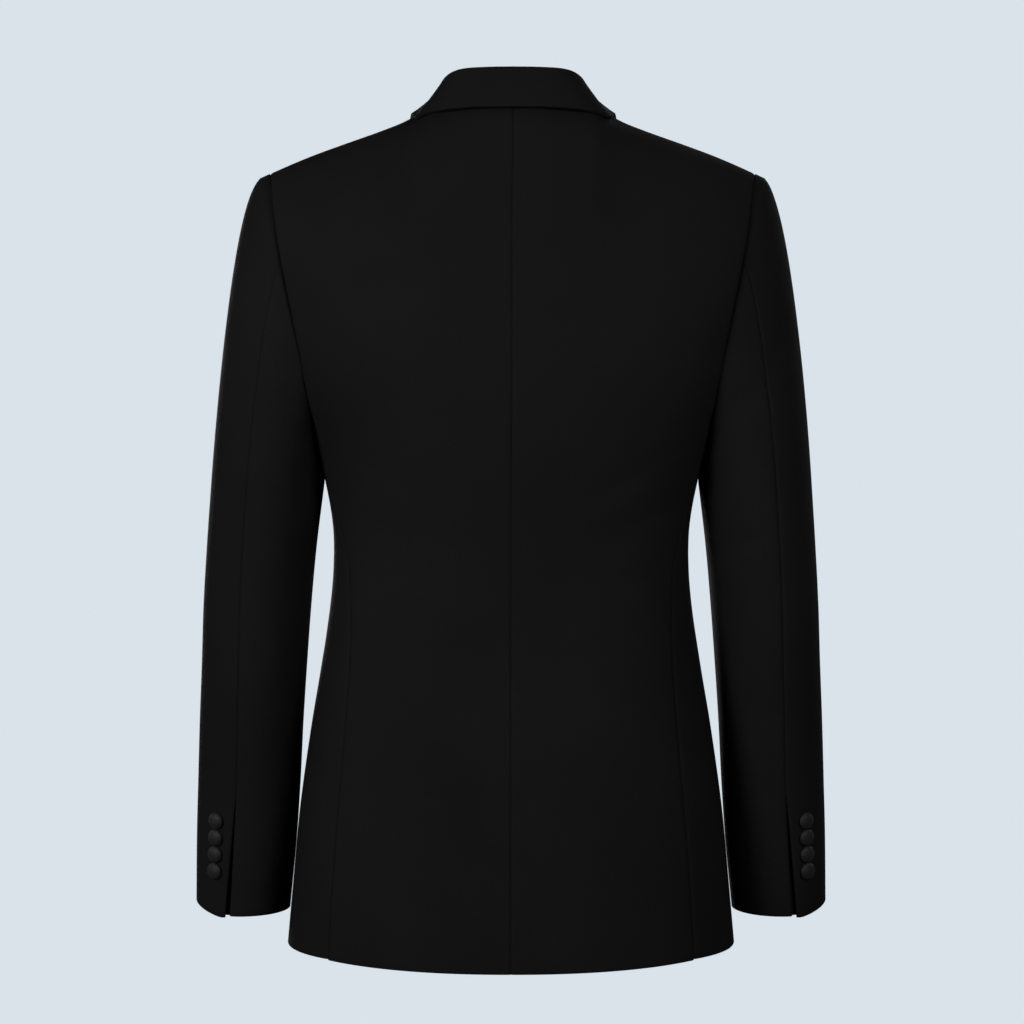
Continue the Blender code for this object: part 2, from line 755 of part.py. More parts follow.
def add_buttons(collection):
    for side, word in SIDES:
        for index, z in enumerate(CUFF_BUTTON_Z, 1):
            point, normal = cuff_button_place(z)
            place = point + normal * (WALL / 2 + BUTTON_GAP)
            flip = Vector((side, 1, 1))
            button(f"cuff_button_{word}_{index}", CUFF_BUTTON, place * flip, normal * flip, collection)
    for row, spread, z in FRONT_BUTTONS:
        for side, word in SIDES:
            # The left front carries both buttons of the rows that lie on the overlap.
            carrier = RIGHT if (row == "top" and side == RIGHT) else LEFT
            x = spread * side * carrier
            normal = outward(front_surface, x, z, 1)
            point = worn_front(carrier, x, z, WALL / 2 + BUTTON_GAP)
            flip = Vector((carrier, 1, 1))
            button(f"front_button_{row}_{word}", FRONT_BUTTON, point * flip, normal * flip, collection)


def build():
    clear_scene()
    jacket = bpy.data.collections.new("tuxedo_jacket")
    bpy.context.scene.collection.children.link(jacket)
    add_body(jacket)
    add_lapels(jacket)
    add_collar(jacket)
    add_sleeves(jacket)
    add_buttons(jacket)


build()
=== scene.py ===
# %% [markdown]
# # A double-breasted tuxedo jacket, seen from the back
# The jacket hangs filled out, as if an unseen wearer carried it on the shoulders. Its solid model is
# loaded first, as a fixed frame: each piece of cloth is laid on the same sizes and stands in for the
# plain solid of the same name. The solid's own box is printed first, and the dressed one's at the end.

# %% Load the frame
import math
from functools import partial

import bmesh
import bpy
import numpy as np
from mathutils import Matrix, Vector


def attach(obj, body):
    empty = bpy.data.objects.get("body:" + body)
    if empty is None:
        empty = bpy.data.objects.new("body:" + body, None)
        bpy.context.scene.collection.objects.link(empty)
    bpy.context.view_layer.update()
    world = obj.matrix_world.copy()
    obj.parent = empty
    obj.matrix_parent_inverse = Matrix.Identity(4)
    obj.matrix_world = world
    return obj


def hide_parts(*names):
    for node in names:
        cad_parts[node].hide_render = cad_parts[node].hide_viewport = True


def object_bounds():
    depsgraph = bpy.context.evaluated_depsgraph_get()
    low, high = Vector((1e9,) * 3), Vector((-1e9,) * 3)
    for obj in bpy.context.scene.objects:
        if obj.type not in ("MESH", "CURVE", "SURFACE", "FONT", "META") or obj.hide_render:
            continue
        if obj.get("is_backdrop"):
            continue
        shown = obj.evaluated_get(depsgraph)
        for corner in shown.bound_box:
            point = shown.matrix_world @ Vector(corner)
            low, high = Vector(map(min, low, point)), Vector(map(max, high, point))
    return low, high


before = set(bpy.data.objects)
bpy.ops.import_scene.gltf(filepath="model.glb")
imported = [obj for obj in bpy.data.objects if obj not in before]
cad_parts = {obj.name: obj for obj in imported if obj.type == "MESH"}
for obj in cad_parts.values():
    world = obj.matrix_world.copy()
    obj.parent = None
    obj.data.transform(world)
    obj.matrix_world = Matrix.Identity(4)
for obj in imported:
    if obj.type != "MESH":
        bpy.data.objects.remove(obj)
solid_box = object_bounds()
MM = 0.001


def show(label, box):
    print(label, [tuple(round(c, 3) for c in corner) for corner in box])


show("solid box", solid_box)

# %% [markdown]
# ## Backdrop and floor
# A studio sweep could be modelled as one curved sheet, but its glare would wash out black cloth. So the
# camera sees one even, pale blue-grey, while the cloth gets only a weak white light from all round. A
# wide floor below the hem glows with the backdrop's colour and shows no edge against it.

# %% Helpers for objects and nodes
scene = bpy.context.scene


def add(name, data):
    piece = bpy.data.objects.new(name, data)
    scene.collection.objects.link(piece)
    return piece


def to_object(name, shape, material):
    mesh = bpy.data.meshes.new(name)
    shape.to_mesh(mesh)
    shape.free()
    mesh.shade_smooth()
    mesh.materials.append(material)
    return add(name, mesh)


def feed(tree, socket, value):
    """Links another node's output to the socket, or sets the socket to a constant."""
    if hasattr(value, "is_output"):
        tree.links.new(value, socket)
    else:
        socket.default_value = value


def new_node(tree, kind, inputs=(), **settings):
    made = tree.nodes.new(f"ShaderNode{kind}")
    for label, value in settings.items():
        setattr(made, label, value)
    for key, value in dict(inputs).items():
        feed(tree, made.inputs[key], value)
    return made

# %% World and floor
PALE = (0.700, 0.767, 0.823, 1.0)
SOFT_LIGHT = 0.07
SOFT_LIGHT_COLOUR = (1.0, 1.0, 1.02, 1.0)
FLOOR_Z = -1.05
FLOOR_HALF = 40.0

world = bpy.data.worlds.new("studio")
scene.world = world
world.use_nodes = True
sky = world.node_tree
backdrop = sky.nodes["Background"]
backdrop.inputs["Color"].default_value = PALE
soft_light = new_node(sky, "Background", {"Color": SOFT_LIGHT_COLOUR, "Strength": SOFT_LIGHT})
seen = new_node(sky, "LightPath").outputs["Is Camera Ray"]
choose = new_node(sky, "MixShader", {"Fac": seen, 1: soft_light.outputs[0], 2: backdrop.outputs[0]})
feed(sky, sky.nodes["World Output"].inputs["Surface"], choose.outputs[0])

pale_paint = bpy.data.materials.new("pale_floor")
pale_paint.use_nodes = True
paint = pale_paint.node_tree
glow = new_node(paint, "Emission", {"Color": PALE})
feed(paint, paint.nodes["Material Output"].inputs["Surface"], glow.outputs[0])
floor_shape = bmesh.new()
bmesh.ops.create_grid(floor_shape, x_segments=2, y_segments=2, size=FLOOR_HALF)
bmesh.ops.translate(floor_shape, verts=floor_shape.verts, vec=(0, 0, FLOOR_Z))
floor = to_object("floor", floor_shape, pale_paint)
floor.visible_diffuse = False
floor.visible_glossy = False
floor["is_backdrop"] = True
scene.view_settings.view_transform = "Standard"
print("floor is", -FLOOR_Z, "m below the mount")

# %% [markdown]
# ## Camera
# The camera stands three metres behind the jacket, above its middle, and looks slightly down, so the
# hem and the cuffs read as shallow curves. A long lens keeps the shoulders from spreading.

# %% Camera
CAMERA_AT = Vector((0.0009, -3.0, -0.060))
LOOK_AT = Vector((0.0009, 0.0, -0.3155))
LENS = 121.2
SENSOR = 36.0


def aim(piece, place, target):
    piece.location = place
    piece.rotation_euler = (target - Vector(place)).to_track_quat("-Z", "Y").to_euler()


camera = add("camera", bpy.data.cameras.new("camera"))
camera.data.lens = LENS
camera.data.sensor_width = SENSOR
aim(camera, CAMERA_AT, LOOK_AT)
scene.camera = camera
slant = math.degrees(math.atan2(CAMERA_AT.z - LOOK_AT.z, LOOK_AT.y - CAMERA_AT.y))
print("camera looks down", round(slant, 1), "degrees")

# %% [markdown]
# ## Lights
# Two soft lights stand behind the jacket, the left one stronger, and give the back its faint roundness.
# Weak ones at the sides lift the sleeves, and two more light the front. All are wide discs, so no edge
# of shadow shows on the cloth.

# %% Lights
LIGHTS_AIM = Vector((0, 0, -0.3))
LIGHTS = (
    # name, place, size, watts
    ("key_left", (-1.35, -1.45, 0.17), 0.8, 21.0),
    ("key_right", (0.95, -1.60, 0.42), 0.8, 12.6),
    ("left", (-2.3, 0.7, 0.15), 1.4, 4.0),
    ("right", (2.3, 0.7, -0.15), 1.4, 0.8),
    ("front", (1.4, 2.9, 1.0), 1.8, 34.0),
    ("front_low", (-0.9, 2.8, -0.1), 1.2, 70.0),
)
for name, place, size, watts in LIGHTS:
    light_data = bpy.data.lights.new(name, "AREA")
    light_data.shape = "DISK"
    light_data.size = size
    light_data.energy = watts
    light = add(name, light_data)
    aim(light, place, LIGHTS_AIM)
    light.visible_camera = False
print("lights", len(LIGHTS))

# %% [markdown]
# ## Reading a tailor's tables
# A cutter works from a short list of measures, level by level. The same measures are written here in
# millimetres, and a smooth curve through them gives every level in between. Whole arrays are read at
# once, because a jacket has many thousands of points.

# %% Small helpers
def read(rows, at, column):
    """The column's values at these places, on a smooth curve through the rows."""
    keys = np.array([row[0] for row in rows], float)
    values = np.array([row[column] for row in rows], float)
    inner = (values[2:] - values[:-2]) / (keys[2:] - keys[:-2])
    first = (values[1] - values[0]) / (keys[1] - keys[0])
    last = (values[-1] - values[-2]) / (keys[-1] - keys[-2])
    slopes = np.concatenate([[first], inner, [last]])
    at = np.clip(at, keys[0], keys[-1])
    low = np.clip(np.searchsorted(keys, at) - 1, 0, len(keys) - 2)
    span = keys[low + 1] - keys[low]
    step = (at - keys[low]) / span
    curve = step * step * (3 - 2 * step) * (values[low + 1] - values[low])
    bend = (1 - step) * slopes[low] * span - step * slopes[low + 1] * span
    return values[low] + curve + step * (1 - step) * bend


def smooth(value):
    value = np.clip(value, 0.0, 1.0)
    return value * value * (3 - 2 * value)


def ramp(value, start, width):
    """0 up to the start, and 1 past the width."""
    return smooth((value - start) / width)


def blend(start, end, share):
    return start + (end - start) * share


def points(x, y, z):
    return np.stack(np.broadcast_arrays(x, y, z), axis=-1).astype(float)


def unit(vectors):
    return vectors / np.linalg.norm(vectors, axis=-1, keepdims=True)


def dot(first, second):
    return (first * second).sum(axis=-1)


def softly_positive(value):
    """The value where it is well above 0, and nearly 0 where it is well below."""
    return (value + np.sqrt(value ** 2 + 1.0)) / 2

# %% Level rings of the body
WALL = 2.0
RING_POWER = 2.4
HEM_Z = -698.1
BODY_RINGS = (
    # z, half_width, back_depth, front_depth
    (-699, 197, 126, 124),
    (-640, 191.5, 124, 122.5),
    (-573, 185, 120, 121),
    (-503, 175, 112, 119),
    (-450, 166, 103.5, 118),
    (-397, 158, 96, 118.5),
    (-362, 155, 93, 120),
    (-326, 155.6, 95, 122),
    (-286, 162.5, 101, 125),
    (-252, 171.5, 107, 127.5),
    (-236, 177, 109, 128.5),
    (-219, 186, 110.5, 129),
    (-187, 203, 112, 129),
    (-147, 218, 111.5, 127.5),
    (-103, 229, 108.5, 124),
    (-70, 236, 104, 120),
    (-24, 243, 96, 112),
    (45, 248, 86, 100),
)
print("waist about", round(2 * read(BODY_RINGS, -362.0, 1)), "mm wide")

# %% [markdown]
# ## The form of the body
# On a real jacket the padding, the pressing and the wearer round out the flat cloth. Below the arms the
# form is a set of level rings, a little squarer than ellipses. Above them it closes towards the
# shoulder seam, which slopes down from the neck. One function does both for the back and one for the
# fronts, and everything that lies on them reads the same two.

# %% Neck and shoulder line
NECK_HALF = 70.0
NECK_BACK_Y = -50.0
NECK_BACK_Z = 44.0
SHOULDER_Y = -5.0
SHOULDER_HALF = 214.5
SHOULDER_Z = -24.0
SHOULDER_SLOPE = 0.4057
NECK_RISE_FROM = 99.0
NECK_RISE = 6.9
SHOULDER_PAD = (
    # x, height of the padded line over a straight one
    (70, -2),
    (100, -2),
    (118, -1.5),
    (150, 0.2),
    (174, 1.1),
    (197, 0.8),
    (214.5, 0),
    (260, -2),
)


def shoulder_top(x):
    """Height of the neck and shoulder edge above a point of the body."""
    x = np.abs(x)
    out = np.maximum(x, NECK_HALF)
    near_neck = np.maximum(NECK_RISE_FROM - out, 0.0) / (NECK_RISE_FROM - NECK_HALF)
    line = SHOULDER_Z + (SHOULDER_HALF - out) * SHOULDER_SLOPE - WALL / 2 + NECK_RISE * near_neck ** 2
    line = line + read(SHOULDER_PAD, out, 1)
    round_neck = blend(NECK_BACK_Z, line, np.minimum(x / NECK_HALF, 1.0) ** 2)
    return np.where(x < NECK_HALF, round_neck, line)


def shoulder_depth(x):
    share = np.minimum(np.abs(x) / NECK_HALF, 1.0)
    return SHOULDER_Y + (NECK_BACK_Y - SHOULDER_Y) * np.sqrt(1 - share ** 2)


print("neck is", 2 * NECK_HALF, "mm wide at its sides")

# %% Back and front surfaces
NECK_SOFT_HALF = 108.0
NECK_SOFT_DROP = 0.09
# Where below the shoulder the cloth has turned down, and how tightly in the middle and at the sides.
BACK_ROUND = 125.0
BACK_TURN = (0.95, 0.5)
BACK_TURN_WIDTH = 115.0
FRONT_ROUND = 230.0
FRONT_TURN = (0.72, 0.55)
FRONT_TURN_WIDTH = 60.0
NEARLY_ALL = 0.9999


def ring_at(z):
    return [read(BODY_RINGS, z, column) - WALL / 2 for column in (1, 2, 3)]


def worn_depth(x, drop):
    """The depth of the edge at the top, which is soon rounded off below it."""
    soft = blend(NECK_BACK_Y, SHOULDER_Y, smooth(np.abs(x) / NECK_SOFT_HALF))
    return blend(shoulder_depth(x), soft, smooth(drop / NECK_SOFT_DROP))


def squared_off(share):
    """One half axis of a ring, for this share of the other."""
    return (1 - share ** RING_POWER) ** (1 / RING_POWER)


def ring_depth(x, half_width, depth):
    return depth * squared_off(np.minimum(np.abs(x) / half_width, NEARLY_ALL))


def turned_down(drop, x, turn, width):
    """How far the cloth has come from the shoulder to the rings."""
    return (1 - (1 - drop) ** 2) ** blend(*turn, smooth(x / width))


def back_surface(x, z):
    half_width, depth, _ = ring_at(z)
    drop = np.clip((shoulder_top(x) - z) / BACK_ROUND, 0.0, 1.0)
    reach = turned_down(drop, np.abs(x), BACK_TURN, BACK_TURN_WIDTH)
    return points(x, blend(worn_depth(x, drop), -ring_depth(x, half_width, depth), reach), z)


def front_surface(x, z):
    half_width, _, depth = ring_at(z)
    top = shoulder_top(np.maximum(np.abs(x), NECK_HALF))
    drop = np.clip((top - z) / FRONT_ROUND, 0.0, 1.0)
    reach = turned_down(drop, np.abs(x) - NECK_HALF, FRONT_TURN, FRONT_TURN_WIDTH)
    return points(x, blend(SHOULDER_Y, ring_depth(x, half_width, depth), reach), z)


print("back stands", round(-float(back_surface(0.0, -180.0)[1])), "mm behind the middle")

# %% Rings, and the way the cloth faces
def ring_point(angle, z):
    """A point of a level ring: 0 degrees at the side, 90 at the front and -90 at the back."""
    half_width, back, front = ring_at(z)
    turn = np.radians(angle)
    x = half_width * np.abs(np.cos(turn)) ** (2 / RING_POWER)
    y = np.abs(np.sin(turn)) ** (2 / RING_POWER)
    return points(x, np.where(turn > 0, y * front, -y * back), z)


def ring_angle(x, z):
    share = np.minimum(x / ring_at(z)[0], 1.0)
    return np.degrees(np.arccos(share ** (RING_POWER / 2)))


def outward(surface, x, z, facing):
    """The surface's unit normal, away from the body."""
    step = 0.5
    across = surface(x + step, z) - surface(x - step, z)
    up = surface(x, z + step) - surface(x, z - step)
    normal = unit(np.cross(across, up))
    return np.where(normal[..., 1:2] * facing > 0, normal, -normal)

# %% [markdown]
# ## Armholes and seams
# A tailor balances the armhole so that the sleeve hangs a little forward. It is kept as heights and
# ring angles from the shoulder round to the underarm, for the back and for the front. The side seams
# are kept as half widths, because that is how they are chalked on the cloth.

# %% Armhole and side seams
SIDE_SEAMS = (
    # z, x of the back seam, x of the front seam
    (-699, 157, 166),
    (-603, 151, 159),
    (-508, 143, 148),
    (-432, 138, 138),
    (-362, 139, 135),
    (-326, 146.5, 140),
    (-286, 156, 150),
    (-252, 165, 160),
    (-219, 174.8, 171.3),
)
ARMHOLE = (
    # turn, z, back_angle, front_angle
    (0, -22.6, 33, 33),
    (25, -37, 33.7, 35.5),
    (50, -70, 33.9, 38),
    (75, -103, 34.1, 39),
    (100, -147, 33.8, 38),
    (125, -187, 30.4, 34.8),
    (145, -219, 21.6, 25),
    (163, -236, 11, 12),
    (180, -241, 0, 0),
)
UNDERARM_TURNS = (110.0, 25.0)
SCYE_TURN, SCYE_Z = ARMHOLE[6][:2]
SHOULDER_END_X = 209.1
SHOULDER_END_Z = ARMHOLE[0][1]


def armhole(turn):
    """Points of the armhole: 0 is the shoulder, 90 the back, 180 the underarm and 270 the front."""
    turn = np.mod(np.asarray(turn, float), 360)
    to_front = turn > 180
    along = np.where(to_front, 360 - turn, turn)
    z = read(ARMHOLE, along, 1)
    angle = np.where(to_front, read(ARMHOLE, along, 3), -read(ARMHOLE, along, 2))
    flat = ring_point(angle, z)
    on_front = front_surface(flat[..., 0], z)
    on_back = back_surface(flat[..., 0], z)
    on_body = np.where(to_front[..., None], on_front, on_back)
    on_body[..., 1] = np.where(along == 0, SHOULDER_Y, on_body[..., 1])
    share = ramp(along, *UNDERARM_TURNS)[..., None]
    return blend(on_body, flat, share)


def armhole_turn(z):
    turns = np.linspace(0.0, 180.0, 4 * 180 + 1)
    return np.interp(-z, -read(ARMHOLE, turns, 1), turns)


print("armhole is", round(float(armhole(0.0)[2] - armhole(180.0)[2])), "mm deep")

# %% [markdown]
# ## Panels of the body
# The back is cut in two halves with a seam down the middle and no vent. A side body runs from the back
# seam round under the arm, and a front runs on from there. Each panel is a square sheet whose points
# are moved onto the form, like cloth smoothed over a stand.

# %% Back and side panels
HEM_RISE = 5.0
HEM_RISE_HALF = 170.0
HEM_RISE_END = 1.1


def hem_z(x):
    """The hem rises a little from the centre to the sides."""
    return HEM_Z + HEM_RISE * np.minimum(np.abs(x) / HEM_RISE_HALF, HEM_RISE_END) ** 2


def halves(along):
    """The shares of the first half and of the second half."""
    return np.minimum(along * 2, 1), np.maximum(along * 2 - 1, 0)


def two_part(lower, upper, along):
    """The lower rows up to half way, and the upper rows above."""
    return np.where((along <= 0.5)[..., None], lower, upper)


def back_point(across, along):
    below, rise = halves(along)
    z = blend(hem_z(SIDE_SEAMS[0][1] * across), SCYE_Z, below)
    x = read(SIDE_SEAMS, z, 1) * across
    edge = armhole(armhole_turn(blend(SCYE_Z, SHOULDER_END_Z, rise)))[..., 0]
    top_z = shoulder_top(SHOULDER_END_X * across)
    upper = back_surface(edge * across, blend(SCYE_Z, top_z, rise))
    at_seam = (rise == 1) & (edge * across >= NECK_HALF)
    upper[..., 1] = np.where(at_seam, SHOULDER_Y, upper[..., 1])
    return two_part(back_surface(x, z), upper, along)


def side_point(across, along):
    top = armhole(blend(SCYE_TURN, 360 - SCYE_TURN, across))
    z = blend(hem_z(HEM_RISE_HALF), top[..., 2], along)
    start = -ring_angle(read(SIDE_SEAMS, z, 1), z)
    end = ring_angle(read(SIDE_SEAMS, z, 2), z)
    return ring_point(blend(start, end, across), z)


print("hem rises", HEM_RISE, "mm to the side seams")

# %% Front panels
LEFT = -1
RIGHT = 1
SIDES = ((LEFT, "left"), (RIGHT, "right"))
FRONT_EDGE = 85.0
ROLL_BOTTOM_Z = -345.0
NECK_TOP_Z = float(shoulder_top(NECK_HALF))
UNDER_BLEND = 34.0
UNDER_TUCK = 7.9
UNDER_MARGIN = 8.0


def roll_x(z):
    """The roll line, from the far edge of the front to the neck: a front's own side is positive."""
    share = (z - ROLL_BOTTOM_Z) / (NECK_TOP_Z - ROLL_BOTTOM_Z)
    return np.where(z <= ROLL_BOTTOM_Z, -FRONT_EDGE, blend(-FRONT_EDGE, NECK_HALF, share))


def covered(side, x, z):
    """1 where the left front lies over the right one, falling to 0 outside its edge."""
    if side == LEFT:
        return np.zeros(np.broadcast(x, z).shape)
    return smooth(1 - (x + roll_x(z) - UNDER_MARGIN) / UNDER_BLEND)


def worn_front(side, x, z, lift=0.0):
    out = lift - UNDER_TUCK * covered(side, x, z)
    return front_surface(x, z) + outward(front_surface, x, z, 1) * np.asarray(out)[..., None]


def front_point(side, across, along):
    below, rise = halves(along)
    z = blend(hem_z(blend(SIDE_SEAMS[0][2], -FRONT_EDGE, across)), SCYE_Z, below)
    x = blend(read(SIDE_SEAMS, z, 2), roll_x(z), across)
    edge_z = blend(SCYE_Z, SHOULDER_END_Z, rise)
    edge = armhole(360 - armhole_turn(edge_z))[..., 0]
    inner_z = blend(SCYE_Z, NECK_TOP_Z, rise)
    up_x = blend(edge, roll_x(inner_z), across)
    seam_x = blend(SHOULDER_END_X, NECK_HALF, across)
    dip = shoulder_top(seam_x) - blend(SHOULDER_END_Z, NECK_TOP_Z, across)
    up_z = blend(edge_z, inner_z, across) + dip * rise ** 2
    upper = worn_front(side, up_x, up_z)
    upper[..., 1] = np.where(rise == 1, SHOULDER_Y, upper[..., 1])
    return two_part(worn_front(side, x, z), upper, along)


print("fronts overlap", 2 * FRONT_EDGE, "mm")

# %% [markdown]
# ## Sleeves
# A two-piece sleeve is a bent tube: a wide top sleeve outside and a narrow under sleeve next to the
# body. Its head is eased into the armhole, so it leaves the shoulder level, then turns down. Raising
# the share of the way to a power below one draws that turn, and under the arm the tube keeps clear.

# %% Sleeve tube
SLEEVE_RINGS = (
    # z, outer, inner, centre_y, half_depth, turn of the hindarm seam
    (-670, 279.9, 196.5, 30, 48.5, 77.5),
    (-609, 278.7, 190.3, 26, 50.5, 79),
    (-556, 276.7, 186.3, 22, 53, 80),
    (-503, 274.6, 183.3, 18, 56, 79),
    (-450, 272, 179.5, 14, 59, 77.5),
    (-397, 269.8, 175.3, 11, 62, 76),
    (-344, 266.3, 170.2, 8, 65, 74.5),
    (-291, 262.3, 163.5, 6, 68, 73),
)
SLEEVE_TOP_Z = -291.0
CUFF_Z = -670.0


def sleeve_axis(z):
    """The middle of the sleeve at this height: x and y, and half its width."""
    outer, inner, centre_y = (read(SLEEVE_RINGS, z, column) for column in (1, 2, 3))
    return (outer + inner) / 2, centre_y, (outer - inner) / 2


def sleeve_ring(turn, z):
    centre_x, centre_y, half_width = sleeve_axis(z)
    half_depth = read(SLEEVE_RINGS, z, 4)
    angle = np.radians(turn)
    x = centre_x + (half_width - WALL / 2) * np.cos(angle)
    return points(x, centre_y - (half_depth - WALL / 2) * np.sin(angle), z)


print("cuff is", round(2 * sleeve_axis(CUFF_Z)[2]), "mm across")

# %% The body beside the sleeve
OVER_SHOULDER = 12.0
UNDERARM_Z = (200.0, 30.0)
MOST_OF_DEPTH = 0.98


def body_side(y, z):
    """The side of the body's ring at this depth and height, and the way it faces."""
    half_width, back, front = ring_at(z)
    depth = np.where(y > 0, front, back)
    share = np.minimum(np.abs(y) / depth, MOST_OF_DEPTH)
    x = half_width * squared_off(share)
    facing_x = (x / half_width) ** (RING_POWER - 1) / half_width
    facing_y = np.copysign(share ** (RING_POWER - 1) / depth, y)
    length = np.hypot(facing_x, facing_y)
    return x, points(facing_x / length, facing_y / length, 0.0)


def body_facing(place):
    """The way the body's cloth faces at a point of the armhole."""
    x, z = place[..., 0], place[..., 2]
    on_back = outward(back_surface, x, z, -1)
    on_front = outward(front_surface, x, z, 1)
    over = smooth((place[..., 1] - SHOULDER_Y) / OVER_SHOULDER + 0.5)[..., None]
    under = ramp(-z, *UNDERARM_Z)[..., None]
    return blend(blend(on_back, on_front, over), body_side(place[..., 1], z)[1], under)

# %% Sleeve head
HEAD_BULGE = 0.44
SLEEVE_CLEAR = 1.3
SLEEVE_TUCKS = (0.4, 2.8)
TURN_IN = 6.0
TURN_IN_DEPTH = 2.5
TURN_IN_SHARE = 0.04
ARMHOLE_MIDDLE = (178.0, 0.0, -135.0)
# The head starts outwards and level, and near the underarm square to the body. Each pair is a start and
# a width, in parts of a half turn from the top.
HEAD_STEP = 10.0
HEAD_OUT = 20.0
HEAD_TUCK_WIDTH = 0.35
HEAD_SQUARE = (0.55, 0.2)
HEAD_PUSHED = (0.5, 0.15)
HEAD_PUSHED_BELOW = 0.12


def turned_in(turn, start, facing, share):
    """The sleeve's seam allowance, which turns down at the seam and lies under the body."""
    edge = armhole(turn + 1.0) - armhole(turn - 1.0)
    inward = unit(np.cross(edge, facing))
    inward = inward * np.sign(dot(inward, start - np.array(ARMHOLE_MIDDLE)))[..., None]
    drop = np.maximum(TURN_IN_DEPTH - dot(armhole(turn) - start, facing), 0.0)[..., None]
    path = np.clip(1 - share / TURN_IN_SHARE, 0.0, 1.0)[..., None] * (drop + TURN_IN)
    return inward * np.maximum(path - drop, 0.0) - facing * np.minimum(path, drop)


def sleeve_head(turn, share):
    """Points between the armhole and the first ring, share 0 to 1 from top to bottom."""
    start = armhole(turn)
    end = sleeve_ring(turn, SLEEVE_TOP_Z)
    below = sleeve_ring(turn, SLEEVE_TOP_Z - HEAD_STEP)
    away = end - start
    away[..., 0] += HEAD_OUT
    away[..., 1] /= 2
    away[..., 2] = 0
    away = unit(away)
    from_top = np.abs(np.mod(turn + 180, 360) - 180) / 180
    under = ramp(from_top, *HEAD_SQUARE)[..., None]
    away = blend(away, body_side(start[..., 1], start[..., 2])[1], under)
    facing = body_facing(start)
    tuck = blend(*SLEEVE_TUCKS, smooth(from_top / HEAD_TUCK_WIDTH))[..., None]
    start = start + away * SLEEVE_CLEAR - facing * tuck
    turned = turned_in(turn, start, facing, share)
    share = np.clip((share - TURN_IN_SHARE) / (1 - TURN_IN_SHARE), 0.0, 1.0)[..., None]
    power = blend(HEAD_BULGE, 1.0, smooth(from_top))[..., None]
    slope = (below - end) / -HEAD_STEP * (end[..., 2:] - start[..., 2:])
    reach = end - start
    point = start + reach * share ** power + (slope - reach * power) * (share ** 3 - share ** 2)
    point[..., 2] = (start + reach * share)[..., 2]
    side_x, facing = body_side(point[..., 1], point[..., 2])
    shortfall = side_x + SLEEVE_CLEAR / facing[..., 0] - point[..., 0]
    pushed = ramp(from_top, *HEAD_PUSHED) * smooth(share[..., 0] / HEAD_PUSHED_BELOW)
    point[..., 0] += softly_positive(shortfall) * pushed
    return point + turned

# %% Sleeve seams and cuff vent
CUFF_RISE = 8.3
CUFF_RISE_TURN = 335.0
HEAD_HINDARM_TURN = 70.0
FOREARM_TURN = 245.0
VENT_TOP_Z = -557.0
VENT_OPEN = 5.4
VENT_CURVE = 0.85
VENT_SHARES = (0.9, 0.1)
VENT_POINT = 1.4
VENT_POINT_REACH = 3
VENT_LAP_ROWS = (0.84, 1.0005)
VENT_LAP_DEPTH = 6.0
VENT_LAP_TURNS = (5.0, -16.0)
VENT_LAP_WALL = 1.4
CUFF_RADIUS = 45.0


def sleeve_place(turn, along):
    """Points of the sleeve: the head to half way, then the tube down to its slanted cuff."""
    head_share, down = halves(along)
    ring = sleeve_ring(turn, blend(SLEEVE_TOP_Z, CUFF_Z, down))
    ring[..., 2] += CUFF_RISE * np.maximum(np.cos(np.radians(turn - CUFF_RISE_TURN)), 0) * down ** 3
    return np.where((along < 0.5)[..., None], sleeve_head(turn, head_share), ring)


def hindarm(along):
    """The turn of the hindarm seam, which swings back a little down the arm."""
    z = blend(SLEEVE_TOP_Z, CUFF_Z, along * 2 - 1)
    on_head = blend(HEAD_HINDARM_TURN, SLEEVE_RINGS[-1][5], along * 2)
    return np.where(along < 0.5, on_head, read(SLEEVE_RINGS, z, 5))


def vent_share(along):
    z = blend(SLEEVE_TOP_Z, CUFF_Z, along * 2 - 1)
    return np.clip((VENT_TOP_Z - z) / (VENT_TOP_Z - CUFF_Z), 0.0, 1.0)


def vent_gap(along):
    return math.degrees(VENT_OPEN / CUFF_RADIUS) * vent_share(along) ** VENT_CURVE


def top_sleeve_point(across, along):
    turn = blend(hindarm(along) - vent_gap(along) * VENT_SHARES[0], FOREARM_TURN - 360, across)
    place = sleeve_place(turn, along)
    place[..., 2] -= VENT_POINT * vent_share(along) * smooth(1 - across * VENT_POINT_REACH)
    return place


def under_sleeve_point(across, along):
    turn = blend(hindarm(along) + vent_gap(along) * VENT_SHARES[1], FOREARM_TURN, across)
    return sleeve_place(turn, along)


def vent_lap_point(across, along):
    """The lap under the vent, from beneath the under sleeve to beneath the top sleeve."""
    row = blend(*VENT_LAP_ROWS, along)
    start, end = (hindarm(row) + turn for turn in VENT_LAP_TURNS)
    place = sleeve_place(blend(start, end, across), row)
    centre_x, centre_y, _ = sleeve_axis(place[..., 2])
    return place + unit(points(centre_x, centre_y, place[..., 2]) - place) * VENT_LAP_DEPTH


print("vent is", round(VENT_TOP_Z - CUFF_Z), "mm long")

# %% [markdown]
# ## Lapels and collar
# Each front folds back along a straight roll line, and its silk-faced lapel lies over the chest. The
# collar is one bent strip: it stands up from the neck seam, rolls over, and falls on the back. Its roll
# is drawn as a curve with a small radius, because pressed wool never folds to a sharp line.

# %% Lapels
LAPEL_ROWS = (
    # along the roll line (0 at the fastening, 1 at the neck), width, rise of the edge, sag of the row
    (0.02, 5, 0, 0),
    (0.12, 33, 2, 0),
    (0.26, 58, 5, 0),
    (0.42, 76, 10, 0),
    (0.58, 89, 18, 2),
    (0.72, 97, 32, 8),
    (0.835, 99, 42, 20),
)
LAPEL_LIFTS = (3.2, 4.1)
LAPEL_LIFT_REACH = 4
LAPEL_BOW = 2.5
LAPEL_BOW_WIDTH = 60.0


